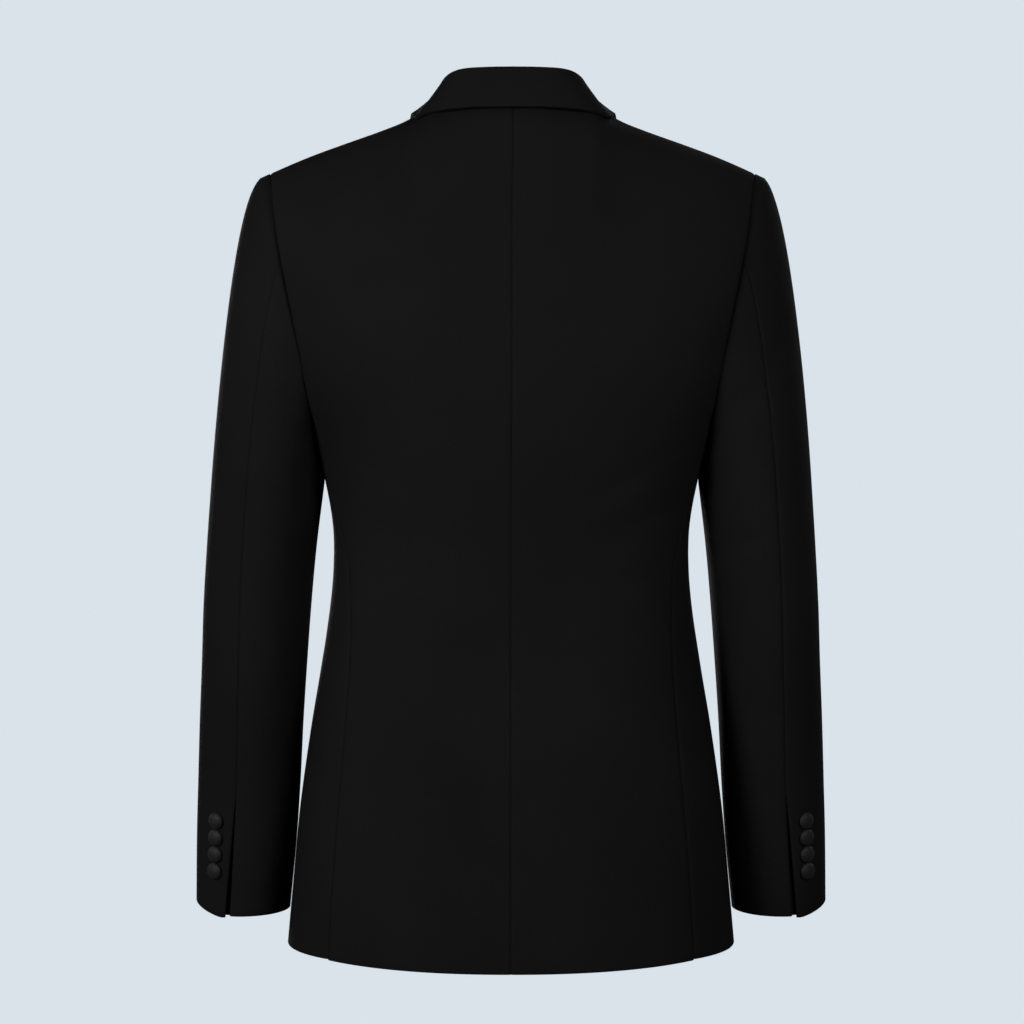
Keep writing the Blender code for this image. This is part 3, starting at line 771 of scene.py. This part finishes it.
def lapel_point(side, across, along):
    place = blend(LAPEL_ROWS[0][0], LAPEL_ROWS[-1][0], along)
    width, rise, sag = (read(LAPEL_ROWS, place, column) for column in (1, 2, 3))
    roll_z = blend(ROLL_BOTTOM_Z, NECK_TOP_Z, place)
    line_x, line_z = Vector((NECK_HALF + FRONT_EDGE, NECK_TOP_Z - ROLL_BOTTOM_Z)).normalized()
    out_x = roll_x(roll_z) + (line_z * width + line_x * rise) * across
    out_z = roll_z + (line_z * rise - line_x * width) * across
    out_z = out_z - sag * (1 - np.abs(2 * across - 1))
    bow = LAPEL_BOW * np.sin(np.pi * across) * smooth(width / LAPEL_BOW_WIDTH)
    lift = blend(*LAPEL_LIFTS, smooth(LAPEL_LIFT_REACH * across))
    return worn_front(side, out_x, out_z, lift + bow * (1 - covered(side, out_x, out_z)))


print("lapel is", LAPEL_ROWS[-1][1], "mm wide at its peak")

# %% Collar
COLLAR_ROWS = (
    # place, base_x, base_y, base_z, fold_x, fold_y, fold_z, edge_x, edge_y, edge_z
    (0, 0, -46, 47, 0, -43.5, 69.3, 0, -61.4, 34.2),
    (1, 24, -43.5, 47, 23.5, -41, 69, 31.5, -57, 34),
    (2, 45, -34, 46.5, 44.5, -33, 67.5, 57, -48, 32.2),
    (3, 57, -20, 45, 56, -20, 61.8, 76.5, -35, 28.6),
    (4, 62, -5, 42, 60, -3, 53, 84, -26.5, 25.2),
    (5, 61.5, 12, 33, 59.5, 16, 41, 89.6, 9, 21),
    (6, 57, 32, 17, 56, 37, 23, 99.4, 39.4, -5.8),
    (7, 43, 62, -13, 46.5, 67.5, -15, 99.8, 66.8, -39.4),
)
COLLAR_WALL = 3.0
COLLAR_ROUND = 0.0014
FALL_LIFT = 2.9
FALL_CLEAR_FROM = 2.2
FALL_CLEAR_SHARE = 0.25
STEEPEST = 3.0
SLOPE_STEP = 1.5
BODY_TOP_LOWEST = -150.0
HALVINGS = 30
FOLD_AT = 0.35
FOLD_ROUND = 0.09
FOLD_RAISE = 1.5


def body_top(x, y):
    """Height of the body's surface at this place, over the shoulder from back to front."""
    x, y = np.broadcast_arrays(x, y)
    low = np.full(x.shape, BODY_TOP_LOWEST)
    high = shoulder_top(x)
    for _ in range(HALVINGS):
        middle = (low + high) / 2
        on_front, on_back = front_surface(x, middle), back_surface(x, middle)
        depth = np.where(y > SHOULDER_Y, on_front[..., 1], on_back[..., 1])
        past = np.abs(depth - SHOULDER_Y) > np.abs(y - SHOULDER_Y)
        low = np.where(past, middle, low)
        high = np.where(past, high, middle)
    return low


def over_shoulder(point, share):
    """Raises the collar's fall, by this share, where it would lie in the body."""
    step = SLOPE_STEP
    x, y, z = point[..., 0], point[..., 1], point[..., 2]
    slope_x = (body_top(x + step, y) - body_top(x - step, y)) / (2 * step)
    slope_y = (body_top(x, y + step) - body_top(x, y - step)) / (2 * step)
    lift = FALL_LIFT * np.sqrt(1 + np.minimum(slope_x ** 2 + slope_y ** 2, STEEPEST ** 2))
    return points(x, y, z + softly_positive(body_top(x, y) + lift - z) * share)


def collar_point(across, along):
    """The collar from its seam to its free edge, and from the left front to the right."""
    side = np.where(along < 0.5, LEFT, RIGHT)
    place = np.abs(along * 2 - 1) * (len(COLLAR_ROWS) - 1)
    base, fold, edge = (
        points(*(read(COLLAR_ROWS, place, column) for column in range(first, first + 3)))
        for first in (1, 4, 7)
    )
    across = np.asarray(across)[..., None]
    stand = blend(base, fold, across / FOLD_AT)
    fall = blend(fold, edge, (across - FOLD_AT) / (1 - FOLD_AT))
    turn = np.clip((across - FOLD_AT + FOLD_ROUND) / (2 * FOLD_ROUND), 0.0, 1.0)
    start = blend(fold, base, FOLD_ROUND / FOLD_AT)
    end = blend(fold, edge, FOLD_ROUND / (1 - FOLD_AT))
    crown = fold + points(0.0, 0.0, FOLD_RAISE)
    rolled = (1 - turn) ** 2 * start + 2 * turn * (1 - turn) * crown + turn ** 2 * end
    point = np.where(turn <= 0, stand, np.where(turn >= 1, fall, rolled))
    down = (across[..., 0] - FOLD_AT) / (1 - FOLD_AT)
    point = over_shoulder(point, smooth(place - FALL_CLEAR_FROM) * smooth(down / FALL_CLEAR_SHARE))
    point[..., 0] *= side
    return point

# %% Painted shade under the collar and beside the left front's edge
FALL_SHADE = 0.75
FALL_SHADE_REACH = 1.6
FALL_SHADE_SOFT = 0.28
FALL_SHADE_SOFT_REACH = 7.0
FALL_SHADE_END = 12.0
BACK_ROWS = 6


def painted_shadow_under_collar(grid):
    """Painted shadow: how little light gets to the back under and just below the collar's edge."""
    edge_x, edge_z = ([row[column] for row in COLLAR_ROWS[:BACK_ROWS]] for column in (7, 9))
    edge_z = np.interp(np.abs(grid[..., 0]), edge_x, edge_z)
    below = np.maximum(edge_z - grid[..., 2], 0.0)
    close = FALL_SHADE * np.exp(-(below / FALL_SHADE_REACH) ** 2)
    return np.maximum(close, FALL_SHADE_SOFT * np.exp(-below / FALL_SHADE_SOFT_REACH))


def painted_shadow_beside_front_edge(grid):
    """Painted shadow: how little light gets to the right front beside the left one's free edge."""
    beside = np.maximum(grid[..., 0] - FRONT_EDGE, 0.0)
    below_roll = smooth((ROLL_BOTTOM_Z - grid[..., 2]) / FALL_SHADE_END + 0.5)
    return FALL_SHADE * np.exp(-(beside / FALL_SHADE_REACH) ** 2) * below_roll

# %% [markdown]
# ## Soft folds
# Good wool over canvas hangs almost smooth. What shows is slight: shallow troughs that run in from the
# side seams at the waist, drag under the arms, and breaks inside the elbows. Each fold is one row of a
# table: where it starts and ends, its width, and its depth, which is positive for a ridge. Both panels
# beside a seam read the same rows, so a fold crosses the seam unbroken.

# %% Fold tables
RUN_OUT = 0.3
BODY_DEGREE = 2.6
BODY_FOLDS = (
    # turn from the centre back, z, end turn, end z, width, depth
    (38, -296, 62, -262, 9, -0.8),
    (46, -330, 74, -300, 10, -0.9),
    (40, -372, 78, -356, 8, -0.6),
    (50, -404, 82, -418, 9, -0.5),
    (34, -316, 58, -284, 12, 0.6),
    (-36, -300, -60, -258, 10, -0.9),
    (-44, -338, -72, -306, 9, -0.8),
    (-52, -366, -80, -352, 8, -0.6),
    (-46, -412, -84, -430, 11, -0.6),
    (-38, -320, -62, -290, 12, 0.6),
    (112, -330, 140, -346, 10, -1.4),
    (118, -300, 148, -340, 9, -1.2),
    (-112, -326, -142, -344, 10, -1.3),
    (-120, -296, -150, -338, 8, -1.1),
    (150, -380, 176, -362, 11, -1.2),
    (-146, -384, -170, -366, 9, -1),
)
SLEEVE_FOLDS = (
    # turn from the outer side, z, end turn, end z, width, depth
    (60, -150, 96, -215, 9, -1),
    (95, -205, 140, -262, 9, -1.6),
    (110, -270, 165, -300, 10, -1.6),
    (84, -330, 150, -352, 9, -1.2),
    (250, -348, 200, -372, 10, -2.4),
    (262, -386, 205, -398, 9, -2.2),
    (256, -424, 210, -420, 10, -1.8),
    (300, -330, 262, -362, 12, -1.2),
    (285, -460, 230, -448, 12, -1.2),
)


def fold_height(turn, z, rows, per_degree):
    """How high all the folds raise the cloth. A fold dies away past both its ends."""
    place = np.stack([turn * per_degree, z], axis=-1)
    height = np.zeros(turn.shape)
    for start_turn, start_z, end_turn, end_z, width, depth in rows:
        start = np.array([start_turn * per_degree, start_z])
        line = np.array([end_turn * per_degree, end_z]) - start
        along = dot(place - start, line) / dot(line, line)
        along = np.clip(along, -RUN_OUT, 1 + RUN_OUT)
        off = np.linalg.norm(place - start - along[..., None] * line, axis=-1)
        taper = smooth((along + RUN_OUT) / (2 * RUN_OUT)) * smooth((1 + RUN_OUT - along) / (2 * RUN_OUT))
        height += depth * taper * np.exp(-(off / width) ** 2)
    return height


def body_drape(place):
    turn = np.degrees(np.arctan2(place[..., 0], -place[..., 1]))
    return fold_height(turn, place[..., 2], BODY_FOLDS, BODY_DEGREE)


def sleeve_drape(place):
    """For a right sleeve; the left one is its mirror, with the same folds."""
    centre_x, centre_y, _ = sleeve_axis(np.clip(place[..., 2], CUFF_Z, SLEEVE_TOP_Z))
    out = np.abs(place[..., 0]) - centre_x
    turn = np.mod(np.degrees(np.arctan2(centre_y - place[..., 1], out)), 360)
    return fold_height(turn, place[..., 2], SLEEVE_FOLDS, 1.0)


print(len(BODY_FOLDS), "folds on the body and", len(SLEEVE_FOLDS), "on each sleeve")

# %% [markdown]
# ## Shared cloth effects
# The fabrics share two effects, so each is a node group with named inputs: the twill weave, a very fine
# diagonal rib with uneven yarns, and the faint cloudiness of worn wool, with painted shade that darkens it
# towards black where little light gets in. The weave reads the piece's own UV map, in metres, so the ribs
# follow each cut piece's grain.

# %% Shader helpers
FLOAT, VECTOR, COLOUR = "NodeSocketFloat", "NodeSocketVector", "NodeSocketColor"


def shader_group(name, inputs, output, kind):
    group = bpy.data.node_groups.new(name, "ShaderNodeTree")
    for label, socket_type in inputs.items():
        group.interface.new_socket(label, in_out="INPUT", socket_type=socket_type)
    group.interface.new_socket(output, in_out="OUTPUT", socket_type=kind)
    start, end = group.nodes.new("NodeGroupInput"), group.nodes.new("NodeGroupOutput")
    return group, start.outputs, end.inputs[output]


def math_node(tree, operation, *values):
    return new_node(tree, "Math", dict(enumerate(values)), operation=operation).outputs[0]


def mix_node(tree, share, first, second):
    return new_node(tree, "Mix", {0: share, 6: first, 7: second}, data_type="RGBA").outputs[2]


def noise(tree, vector, scale, detail):
    return new_node(tree, "TexNoise", {"Scale": scale, "Detail": detail, "Vector": vector}).outputs["Fac"]

# %% Weave and clouds
# Painted shade mixes the cloth's colour towards this black.
PAINTED_SHADE_BLACK = (0, 0, 0, 1)
TWILL_LEAN = 0.55
NAP_SHARE = 0.8
# Each noise has a scale and a detail.
YARN_NOISE = (420.0, 2.0)
NAP_NOISE = (1500.0, 3.0)
CLOUD_NOISE = (9.0, 3.0)
FLECK_NOISE = (900.0, 2.0)


def weave_group():
    """Twill ribs across the grain, as a height."""
    inputs = {"UV": VECTOR, "Ribs per metre": FLOAT, "Unevenness": FLOAT}
    group, start, end = shader_group("twill_weave", inputs, "Height", FLOAT)
    compute = partial(math_node, group)
    split = new_node(group, "SeparateXYZ", {0: start["UV"]}).outputs
    diagonal = compute("ADD", split["X"], compute("MULTIPLY", split["Y"], TWILL_LEAN))
    turns = compute("MULTIPLY", diagonal, start["Ribs per metre"])
    stray = compute("MULTIPLY", noise(group, start["UV"], *YARN_NOISE), start["Unevenness"])
    wave = compute("SINE", compute("MULTIPLY", compute("ADD", turns, stray), math.tau))
    crown = compute("ADD", compute("MULTIPLY", wave, 0.5), 0.5)
    nap = compute("MULTIPLY", noise(group, start["UV"], *NAP_NOISE), NAP_SHARE)
    feed(group, end, compute("ADD", crown, nap))
    return group


def clouds_and_painted_shade_group():
    """Two colours mixed in soft clouds, then painted shade, which mixes in black."""
    inputs = {"Position": VECTOR, "Dark": COLOUR, "Light": COLOUR, "Fleck": FLOAT, "Seam": FLOAT}
    group, start, end = shader_group("cloudy_colour_and_painted_shade", inputs, "Color", COLOUR)
    compute = partial(math_node, group)
    broad = noise(group, start["Position"], *CLOUD_NOISE)
    fine = noise(group, start["Position"], *FLECK_NOISE)
    cloud = compute("ADD", broad, compute("MULTIPLY", compute("SUBTRACT", fine, 0.5), start["Fleck"]))
    worn = mix_node(group, cloud, start["Dark"], start["Light"])
    # Painted shade: the colour goes towards black as far as the shade input says.
    feed(group, end, mix_node(group, start["Seam"], worn, PAINTED_SHADE_BLACK))
    return group


WEAVE = weave_group()
CLOUDS_AND_PAINTED_SHADE = clouds_and_painted_shade_group()
print("shader groups", WEAVE.name, CLOUDS_AND_PAINTED_SHADE.name)

# %% [markdown]
# ## The fabrics
# Barathea-like wool swallows light: a very dark, rough cloth with a weak sheen from its nap. The silk on
# the lapels has a tighter rib and a clear soft gloss. The buttons are covered in the same silk, pulled
# tight, and catch more light than the cloth; their silk is painted paler than the lapels' to stand in for
# that light. The constants sit on the shader's own sockets.

# %% Materials
UNEVENNESS = 1.2
BUMP = 0.5


def fabric(name, dark, light, ribs, depth, fleck, **constants):
    made = bpy.data.materials.new(name)
    made.use_nodes = True
    tree = made.node_tree
    shader = tree.nodes["Principled BSDF"]
    for label, value in constants.items():
        shader.inputs[label.replace("_", " ")].default_value = value
    uv = new_node(tree, "UVMap", uv_map="cloth").outputs["UV"]
    place = new_node(tree, "TexCoord").outputs["Object"]
    # The seam attribute holds painted shade at the seams, beside turned-in edges, under the collar and
    # beside the front edge.
    seam = new_node(tree, "Attribute", attribute_name="seam").outputs["Fac"]
    weave = {"UV": uv, "Ribs per metre": ribs, "Unevenness": UNEVENNESS}
    clouds = {"Position": place, "Dark": (*dark, 1), "Light": (*light, 1), "Fleck": fleck, "Seam": seam}
    height = new_node(tree, "Group", weave, node_tree=WEAVE).outputs[0]
    colour = new_node(tree, "Group", clouds, node_tree=CLOUDS_AND_PAINTED_SHADE).outputs[0]
    bump = new_node(tree, "Bump", {"Strength": BUMP, "Distance": depth, "Height": height})
    feed(tree, shader.inputs["Base Color"], colour)
    feed(tree, shader.inputs["Normal"], bump.outputs["Normal"])
    return made


# After the two colours come the ribs to a metre, their height in metres, and the flecks.
wool = fabric(
    "black_wool", (0.0076, 0.0076, 0.0080), (0.0124, 0.0124, 0.0129), 1100.0, 0.00012, 0.9,
    Roughness=0.95, Specular_IOR_Level=0.03, Sheen_Weight=0.002, Sheen_Roughness=0.5,
)
silk = fabric(
    "black_silk", (0.0080, 0.0081, 0.0088), (0.0130, 0.0132, 0.0140), 2600.0, 0.00004, 0.3,
    Roughness=0.36, Specular_IOR_Level=0.42, Sheen_Weight=0.02,
)
# Painted light: the buttons' silk is paler than the lapels', for the light their tight domes catch.
covered_silk_painted_light = fabric(
    "covered_silk_painted_light", (0.0104, 0.0105, 0.011), (0.014, 0.0141, 0.0147), 2600.0, 0.00005, 0.3,
    Roughness=0.55, Specular_IOR_Level=0.22, Sheen_Weight=0.02,
)
print("fabrics", wool.name, silk.name, covered_silk_painted_light.name)

# %% [markdown]
# ## Laying a cut piece of cloth
# Every panel starts as a flat grid. Its points are moved onto the form, sunk a little at the sewn edges,
# where a seam is pressed open, and raised or lowered by the folds. A UV map in metres records how far
# each point is from the panel's corner, as on the flat cloth. A Solidify modifier then gives the wall,
# and a small Bevel rounds its raw edges.

# %% Steps across a panel, and lengths along it
EDGE_STEPS = np.array([0.0, 0.35, 1.0, 2.0])
INNER_STEPS_FROM = 3.5


def steps(count, start=0.0, end=1.0):
    return np.linspace(start, end, count + 1)


def edged(count, near):
    """Even steps, with closer ones beside both edges."""
    close = near * EDGE_STEPS
    inner = near * INNER_STEPS_FROM
    return np.concatenate([close, np.linspace(inner, 1 - inner, count), 1 - close[::-1]])


def closing(count, start, end):
    """Steps that crowd towards the end."""
    return end - (end - start) * (1 - steps(count)) ** 2


def joined(*parts):
    return np.unique(np.round(np.concatenate(parts), 9))


def grid_normals(grid):
    normal = np.cross(np.gradient(grid, axis=1), np.gradient(grid, axis=0))
    return normal / np.maximum(np.linalg.norm(normal, axis=-1, keepdims=True), 1e-9)


def lengths(grid, axis):
    """Distance of each point from the first edge, along its row or column."""
    step = np.linalg.norm(np.diff(grid, axis=axis), axis=-1)
    first = np.zeros_like(np.take(step, [0], axis=axis))
    return np.concatenate([first, np.cumsum(step, axis=axis)], axis=axis)

# %% Seams, their painted shade, and the lean
SEAM_SINK = 0.95
SEAM_REACH = 1.4
# Painted shade along the sewn edges, and on the sleeve beside its turned-in head.
SEAM_SHADE = 0.5
SEAM_SHADE_REACH = 0.6
TURNED_SHADE = (0.35, 0.95)
TURNED_SHADE_REACH = (1.1, 3.6)
TURNED_SHADE_Z = (30.0, 90.0)
LEANS = (
    # sideways, start, height over which it comes
    (0.8, -420.0, 250.0),
    (1.2, -50.0, 60.0),
)


def beside_seams(grid, sewn, reach):
    """1 at the sewn edges of the cloth, falling to 0 beside them."""
    dip = np.zeros(grid.shape[:2])
    for axis, ends in ((1, sewn[:2]), (0, sewn[2:])):
        far = lengths(grid, axis)
        total = np.take(far, [-1], axis=axis)
        for is_sewn, distance in zip(ends, (far, total - far)):
            if is_sewn:
                dip = np.maximum(dip, np.exp(-(distance / reach) ** 2))
    return dip


def painted_crevice_shade(grid, sewn, along, turned):
    """Painted shade: how little light gets to the cloth at its sewn edges, and where it is turned in."""
    shade = SEAM_SHADE * beside_seams(grid, sewn, SEAM_SHADE_REACH)
    if not turned:
        return shade
    far = lengths(grid, 0)
    past = far - far[int(np.argmin(np.abs(along - turned)))]
    lower = ramp(-grid[..., 2], *TURNED_SHADE_Z)
    beside = np.exp(-(np.maximum(past, 0.0) / blend(*TURNED_SHADE_REACH, lower)) ** 2)
    return np.maximum(shade, blend(*TURNED_SHADE, lower) * beside)


def hang(place):
    """The jacket hangs a touch to one side, most at the neck."""
    lean = sum(sideways * ramp(place[..., 2], start, height) for sideways, start, height in LEANS)
    return place + points(lean, 0.0, 0.0)

# %% Mesh and wall of a panel
EDGE_ROUND = 0.0007
EDGE_ANGLE = 60


def cloth_shape(grid, facing, uv, shade):
    """A mesh through the grid's points, facing the way the cloth does."""
    row_count, column_count = shade.shape
    shape = bmesh.new()
    bmesh.ops.create_grid(shape, x_segments=column_count - 1, y_segments=row_count - 1, size=1)
    uv_layer = shape.loops.layers.uv.new("cloth")
    # Each point also carries its painted shade, in the seam attribute.
    painted_shade_layer = shape.verts.layers.float.new("seam")
    # The mesh has its points row by row, as the arrays do.
    for vert, place, dark, at in zip(shape.verts, grid.reshape(-1, 3), shade.ravel(), uv.reshape(-1, 2)):
        vert.co = place * MM
        vert[painted_shade_layer] = dark
        for loop in vert.link_loops:
            loop[uv_layer].uv = at
    if dot(grid_normals(grid), facing).sum() < 0:
        bmesh.ops.reverse_faces(shape, faces=shape.faces)
    return shape


def add_wall(piece, wall, rounding):
    shell = piece.modifiers.new("wall", "SOLIDIFY")
    shell.thickness = wall * MM
    shell.offset = 0
    shell.use_even_offset = True
    edge = piece.modifiers.new("rolled_edge", "BEVEL")
    edge.width = rounding
    edge.segments = 2
    edge.limit_method = "ANGLE"
    edge.angle_limit = math.radians(EDGE_ANGLE)

# %% Laying a panel
SLEEVE_MIDDLE = (222.0, 12.0)
LAID = {}


def lay(name, place, across, along, side, material, sewn=(0, 0, 0, 0), drape=None, wall=WALL, turned=0.0,
        rounding=EDGE_ROUND, shaded=None):
    """A panel: sewn names its edges (across start, across end, along start, along end)."""
    flip = np.array([side, 1, 1])
    on_sleeve = drape is sleeve_drape
    grid = place(*np.meshgrid(across, along))
    facing = grid_normals(grid)
    centre = len(along) // 2, len(across) // 2
    away = grid[centre][:2] - (SLEEVE_MIDDLE if on_sleeve else (0.0, 0.0))
    if dot(facing[centre][:2], away) < 0:
        facing = -facing
    height = -SEAM_SINK * beside_seams(grid, sewn, SEAM_REACH)
    # Painted shade at the seams and under edges goes into the mesh with its points.
    shade = painted_crevice_shade(grid, sewn, along, turned)
    if shaded is not None:
        shade = np.maximum(shade, shaded(grid))
    if drape is not None:
        height = height + drape(grid if on_sleeve else grid * flip)
    grid = hang((grid + facing * height[..., None]) * flip)
    facing = facing * flip
    uv = np.stack([lengths(grid, 1), lengths(grid, 0)], axis=-1) * MM
    piece = to_object(f"{name}_cloth", cloth_shape(grid, facing, uv, shade), material)
    add_wall(piece, wall, rounding)
    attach(piece, "root")
    # A sleeve is cut as wide as its tube, because its edge at the armhole is a curve.
    straight = np.asarray(along) >= (0.5 if on_sleeve else 0.0)
    width, length = LAID[piece.name] = (float(uv[straight, :, 0].max()), float(uv[..., 1].max()))
    print(name, "is", round(width / MM), "by", round(length / MM), "mm of cloth")
    return piece


def declare(node):
    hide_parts(node)

# %% [markdown]
# ## Back, side and front panels
# The back is laid first, then the side bodies and the fronts, each from its sewn edge outwards. The rows
# crowd towards the shoulder, where the cloth turns over quickly, and towards the seams, where it dips.

# %% Lay the body panels
rows = joined(steps(80, 0.0, 0.5), steps(40, 0.5, 0.88), closing(22, 0.88, 1.0))
for side, word in SIDES:
    # Painted shadow falls under the collar on the backs and beside the left front's edge on the right
    # front.
    front_shade = painted_shadow_beside_front_edge if side == RIGHT else None
    for panel, place, across, along, sewn, shaded in (
        ("back", back_point, edged(34, 0.006), rows, (1, 1, 0, 1), painted_shadow_under_collar),
        ("side", side_point, edged(22, 0.012), joined(steps(100)), (1, 1, 0, 1), None),
        ("front", partial(front_point, side), edged(44, 0.005), rows, (1, 0, 0, 1), front_shade),
    ):
        piece = lay(f"{panel}_{word}", place, across, along, side, wool, sewn, body_drape, shaded=shaded)
        declare(f"{panel}_{word}")

# %% [markdown]
# ## Lapels and collar on their places
# The lapels are silk, laid over the fronts and bowed a little between the roll line and the edge. One
# strip of wool makes the collar's stand and fall, rolled over at the top.

# %% Lay the lapels and the collar
for side, word in SIDES:
    lapel = lay(f"lapel_{word}", partial(lapel_point, side), steps(30), steps(90), side, silk)
    declare(f"lapel_{word}")

collar_steps = joined(steps(8, 0.0, 0.24), steps(16, 0.24, 0.46), steps(14, 0.46, 1.0))
collar = lay(
    "collar", collar_point, collar_steps, steps(150), RIGHT, wool, wall=COLLAR_WALL, rounding=COLLAR_ROUND,
)
declare("collar")

# %% [markdown]
# ## Sleeves on their places
# Each sleeve has two panels, joined at the forearm and hindarm seams and open at the cuff's vent, where
# a lap lies behind the opening.

# %% Lay the sleeves
sleeve_rows = joined(steps(12, 0.0, 0.02), steps(14, 0.02, 0.1), steps(34, 0.1, 0.5), steps(76, 0.5, 1.0))
for side, word in SIDES:
    for panel, place, across in (
        ("top_sleeve", top_sleeve_point, edged(44, 0.006)),
        ("under_sleeve", under_sleeve_point, edged(34, 0.007)),
    ):
        # Painted shade lies on the sleeves beside the armhole, where the head is turned in.
        piece = lay(
            f"{panel}_{word}", place, across, sleeve_rows, side, wool, (1, 1, 0, 0), sleeve_drape,
            turned=TURN_IN_SHARE / 2,
        )
        declare(f"{panel}_{word}")
    vent_lap = lay(f"vent_lap_{word}", vent_lap_point, steps(8), steps(20), side, wool, wall=VENT_LAP_WALL)

# %% [markdown]
# ## Covered buttons
# Each button is a domed mould with silk drawn over it and gathered behind. Half of its outline is spun
# round an axis, which gives an even dome, and the spun shape is then turned to face out of the cloth.

# %% Button shape
BUTTON_OUTLINE = (
    # share of the radius, share of the height
    (0, 1), (0.3, 0.97), (0.55, 0.89), (0.76, 0.76), (0.9, 0.6), (0.985, 0.42),
    (1, 0.3), (0.95, 0.15), (0.82, 0.04), (0.6, 0), (0, 0),
)
SPIN_STEPS = 40
SAME_POINT = 1e-6


def button_shape(size):
    """A dome on a rounded rim, from half its outline spun round the axis."""
    across, height = size
    shape = bmesh.new()
    verts = [shape.verts.new((x * across / 2 * MM, 0, z * height * MM)) for x, z in BUTTON_OUTLINE]
    edges = [shape.edges.new(pair) for pair in zip(verts[:-1], verts[1:])]
    bmesh.ops.spin(
        shape, geom=verts + edges, cent=(0, 0, 0), axis=(0, 0, 1), angle=math.tau, steps=SPIN_STEPS,
        use_merge=True, use_duplicate=False,
    )
    bmesh.ops.remove_doubles(shape, verts=shape.verts, dist=SAME_POINT)
    bmesh.ops.recalc_face_normals(shape, faces=shape.faces)
    return shape

# %% Sewing the buttons on
CUFF_BUTTON = (14.8, 5.0)
CUFF_BUTTON_Z = (-585.0, -600.2, -615.4, -630.6)
CUFF_BUTTON_TURN = 57.5
NEXT_TURN = (1, 0)
NEXT_ROW = (0, 0.005)
FRONT_BUTTON = (20.0, 6.4)
FRONT_BUTTONS = (
    # name, half spread, z
    ("top", 90.0, -262.0),
    ("middle", 57.0, -366.0),
    ("bottom", 57.0, -468.0),
)
BUTTON_LIFT = WALL / 2 + 0.3


def sew_button(name, size, place, normal):
    shape = button_shape(size)
    uv_layer = shape.loops.layers.uv.new("cloth")
    for face in shape.faces:
        for loop in face.loops:
            loop[uv_layer].uv = loop.vert.co.xy
    turn = Vector(normal).to_track_quat("Z", "Y").to_matrix().to_4x4()
    move = Matrix.Translation(Vector(hang(place)) * MM)
    bmesh.ops.transform(shape, matrix=move @ turn, verts=shape.verts)
    button = to_object(f"{name}_covered", shape, covered_silk_painted_light)
    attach(button, "root")
    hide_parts(name)


def cuff_button_place(z):
    along = 0.5 + (z - SLEEVE_TOP_Z) / (CUFF_Z - SLEEVE_TOP_Z) / 2
    here, around, down = (
        sleeve_place(np.array([CUFF_BUTTON_TURN + more]), np.array([along + lower]))[0]
        for more, lower in ((0, 0), NEXT_TURN, NEXT_ROW)
    )
    normal = unit(np.cross(around - here, down - here))
    return here, normal if normal[0] > 0 else -normal


for side, word in SIDES:
    flip = np.array([side, 1, 1])
    for index, z in enumerate(CUFF_BUTTON_Z, 1):
        place, normal = cuff_button_place(z)
        place = (place + normal * BUTTON_LIFT) * flip
        sew_button(f"cuff_button_{word}_{index}", CUFF_BUTTON, place, normal * flip)
for row, spread, z in FRONT_BUTTONS:
    for side, word in SIDES:
        # The left front carries both buttons of the rows that lie on the overlap.
        carrier = RIGHT if (row == "top" and side == RIGHT) else LEFT
        flip = np.array([carrier, 1, 1])
        at = np.array([spread * side * carrier]), np.array([z])
        normal = outward(front_surface, *at, 1)[0]
        place = worn_front(carrier, *at, BUTTON_LIFT)[0]
        sew_button(f"front_button_{row}_{word}", FRONT_BUTTON, place * flip, normal * flip)
print("buttons", len(CUFF_BUTTON_Z) * 2 + len(FRONT_BUTTONS) * 2)

# %% [markdown]
# ## Last step
# The box of the dressed model is printed, as the solid's was at the start.

# %% Finish
dressed_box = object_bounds()
show("dressed box", dressed_box)
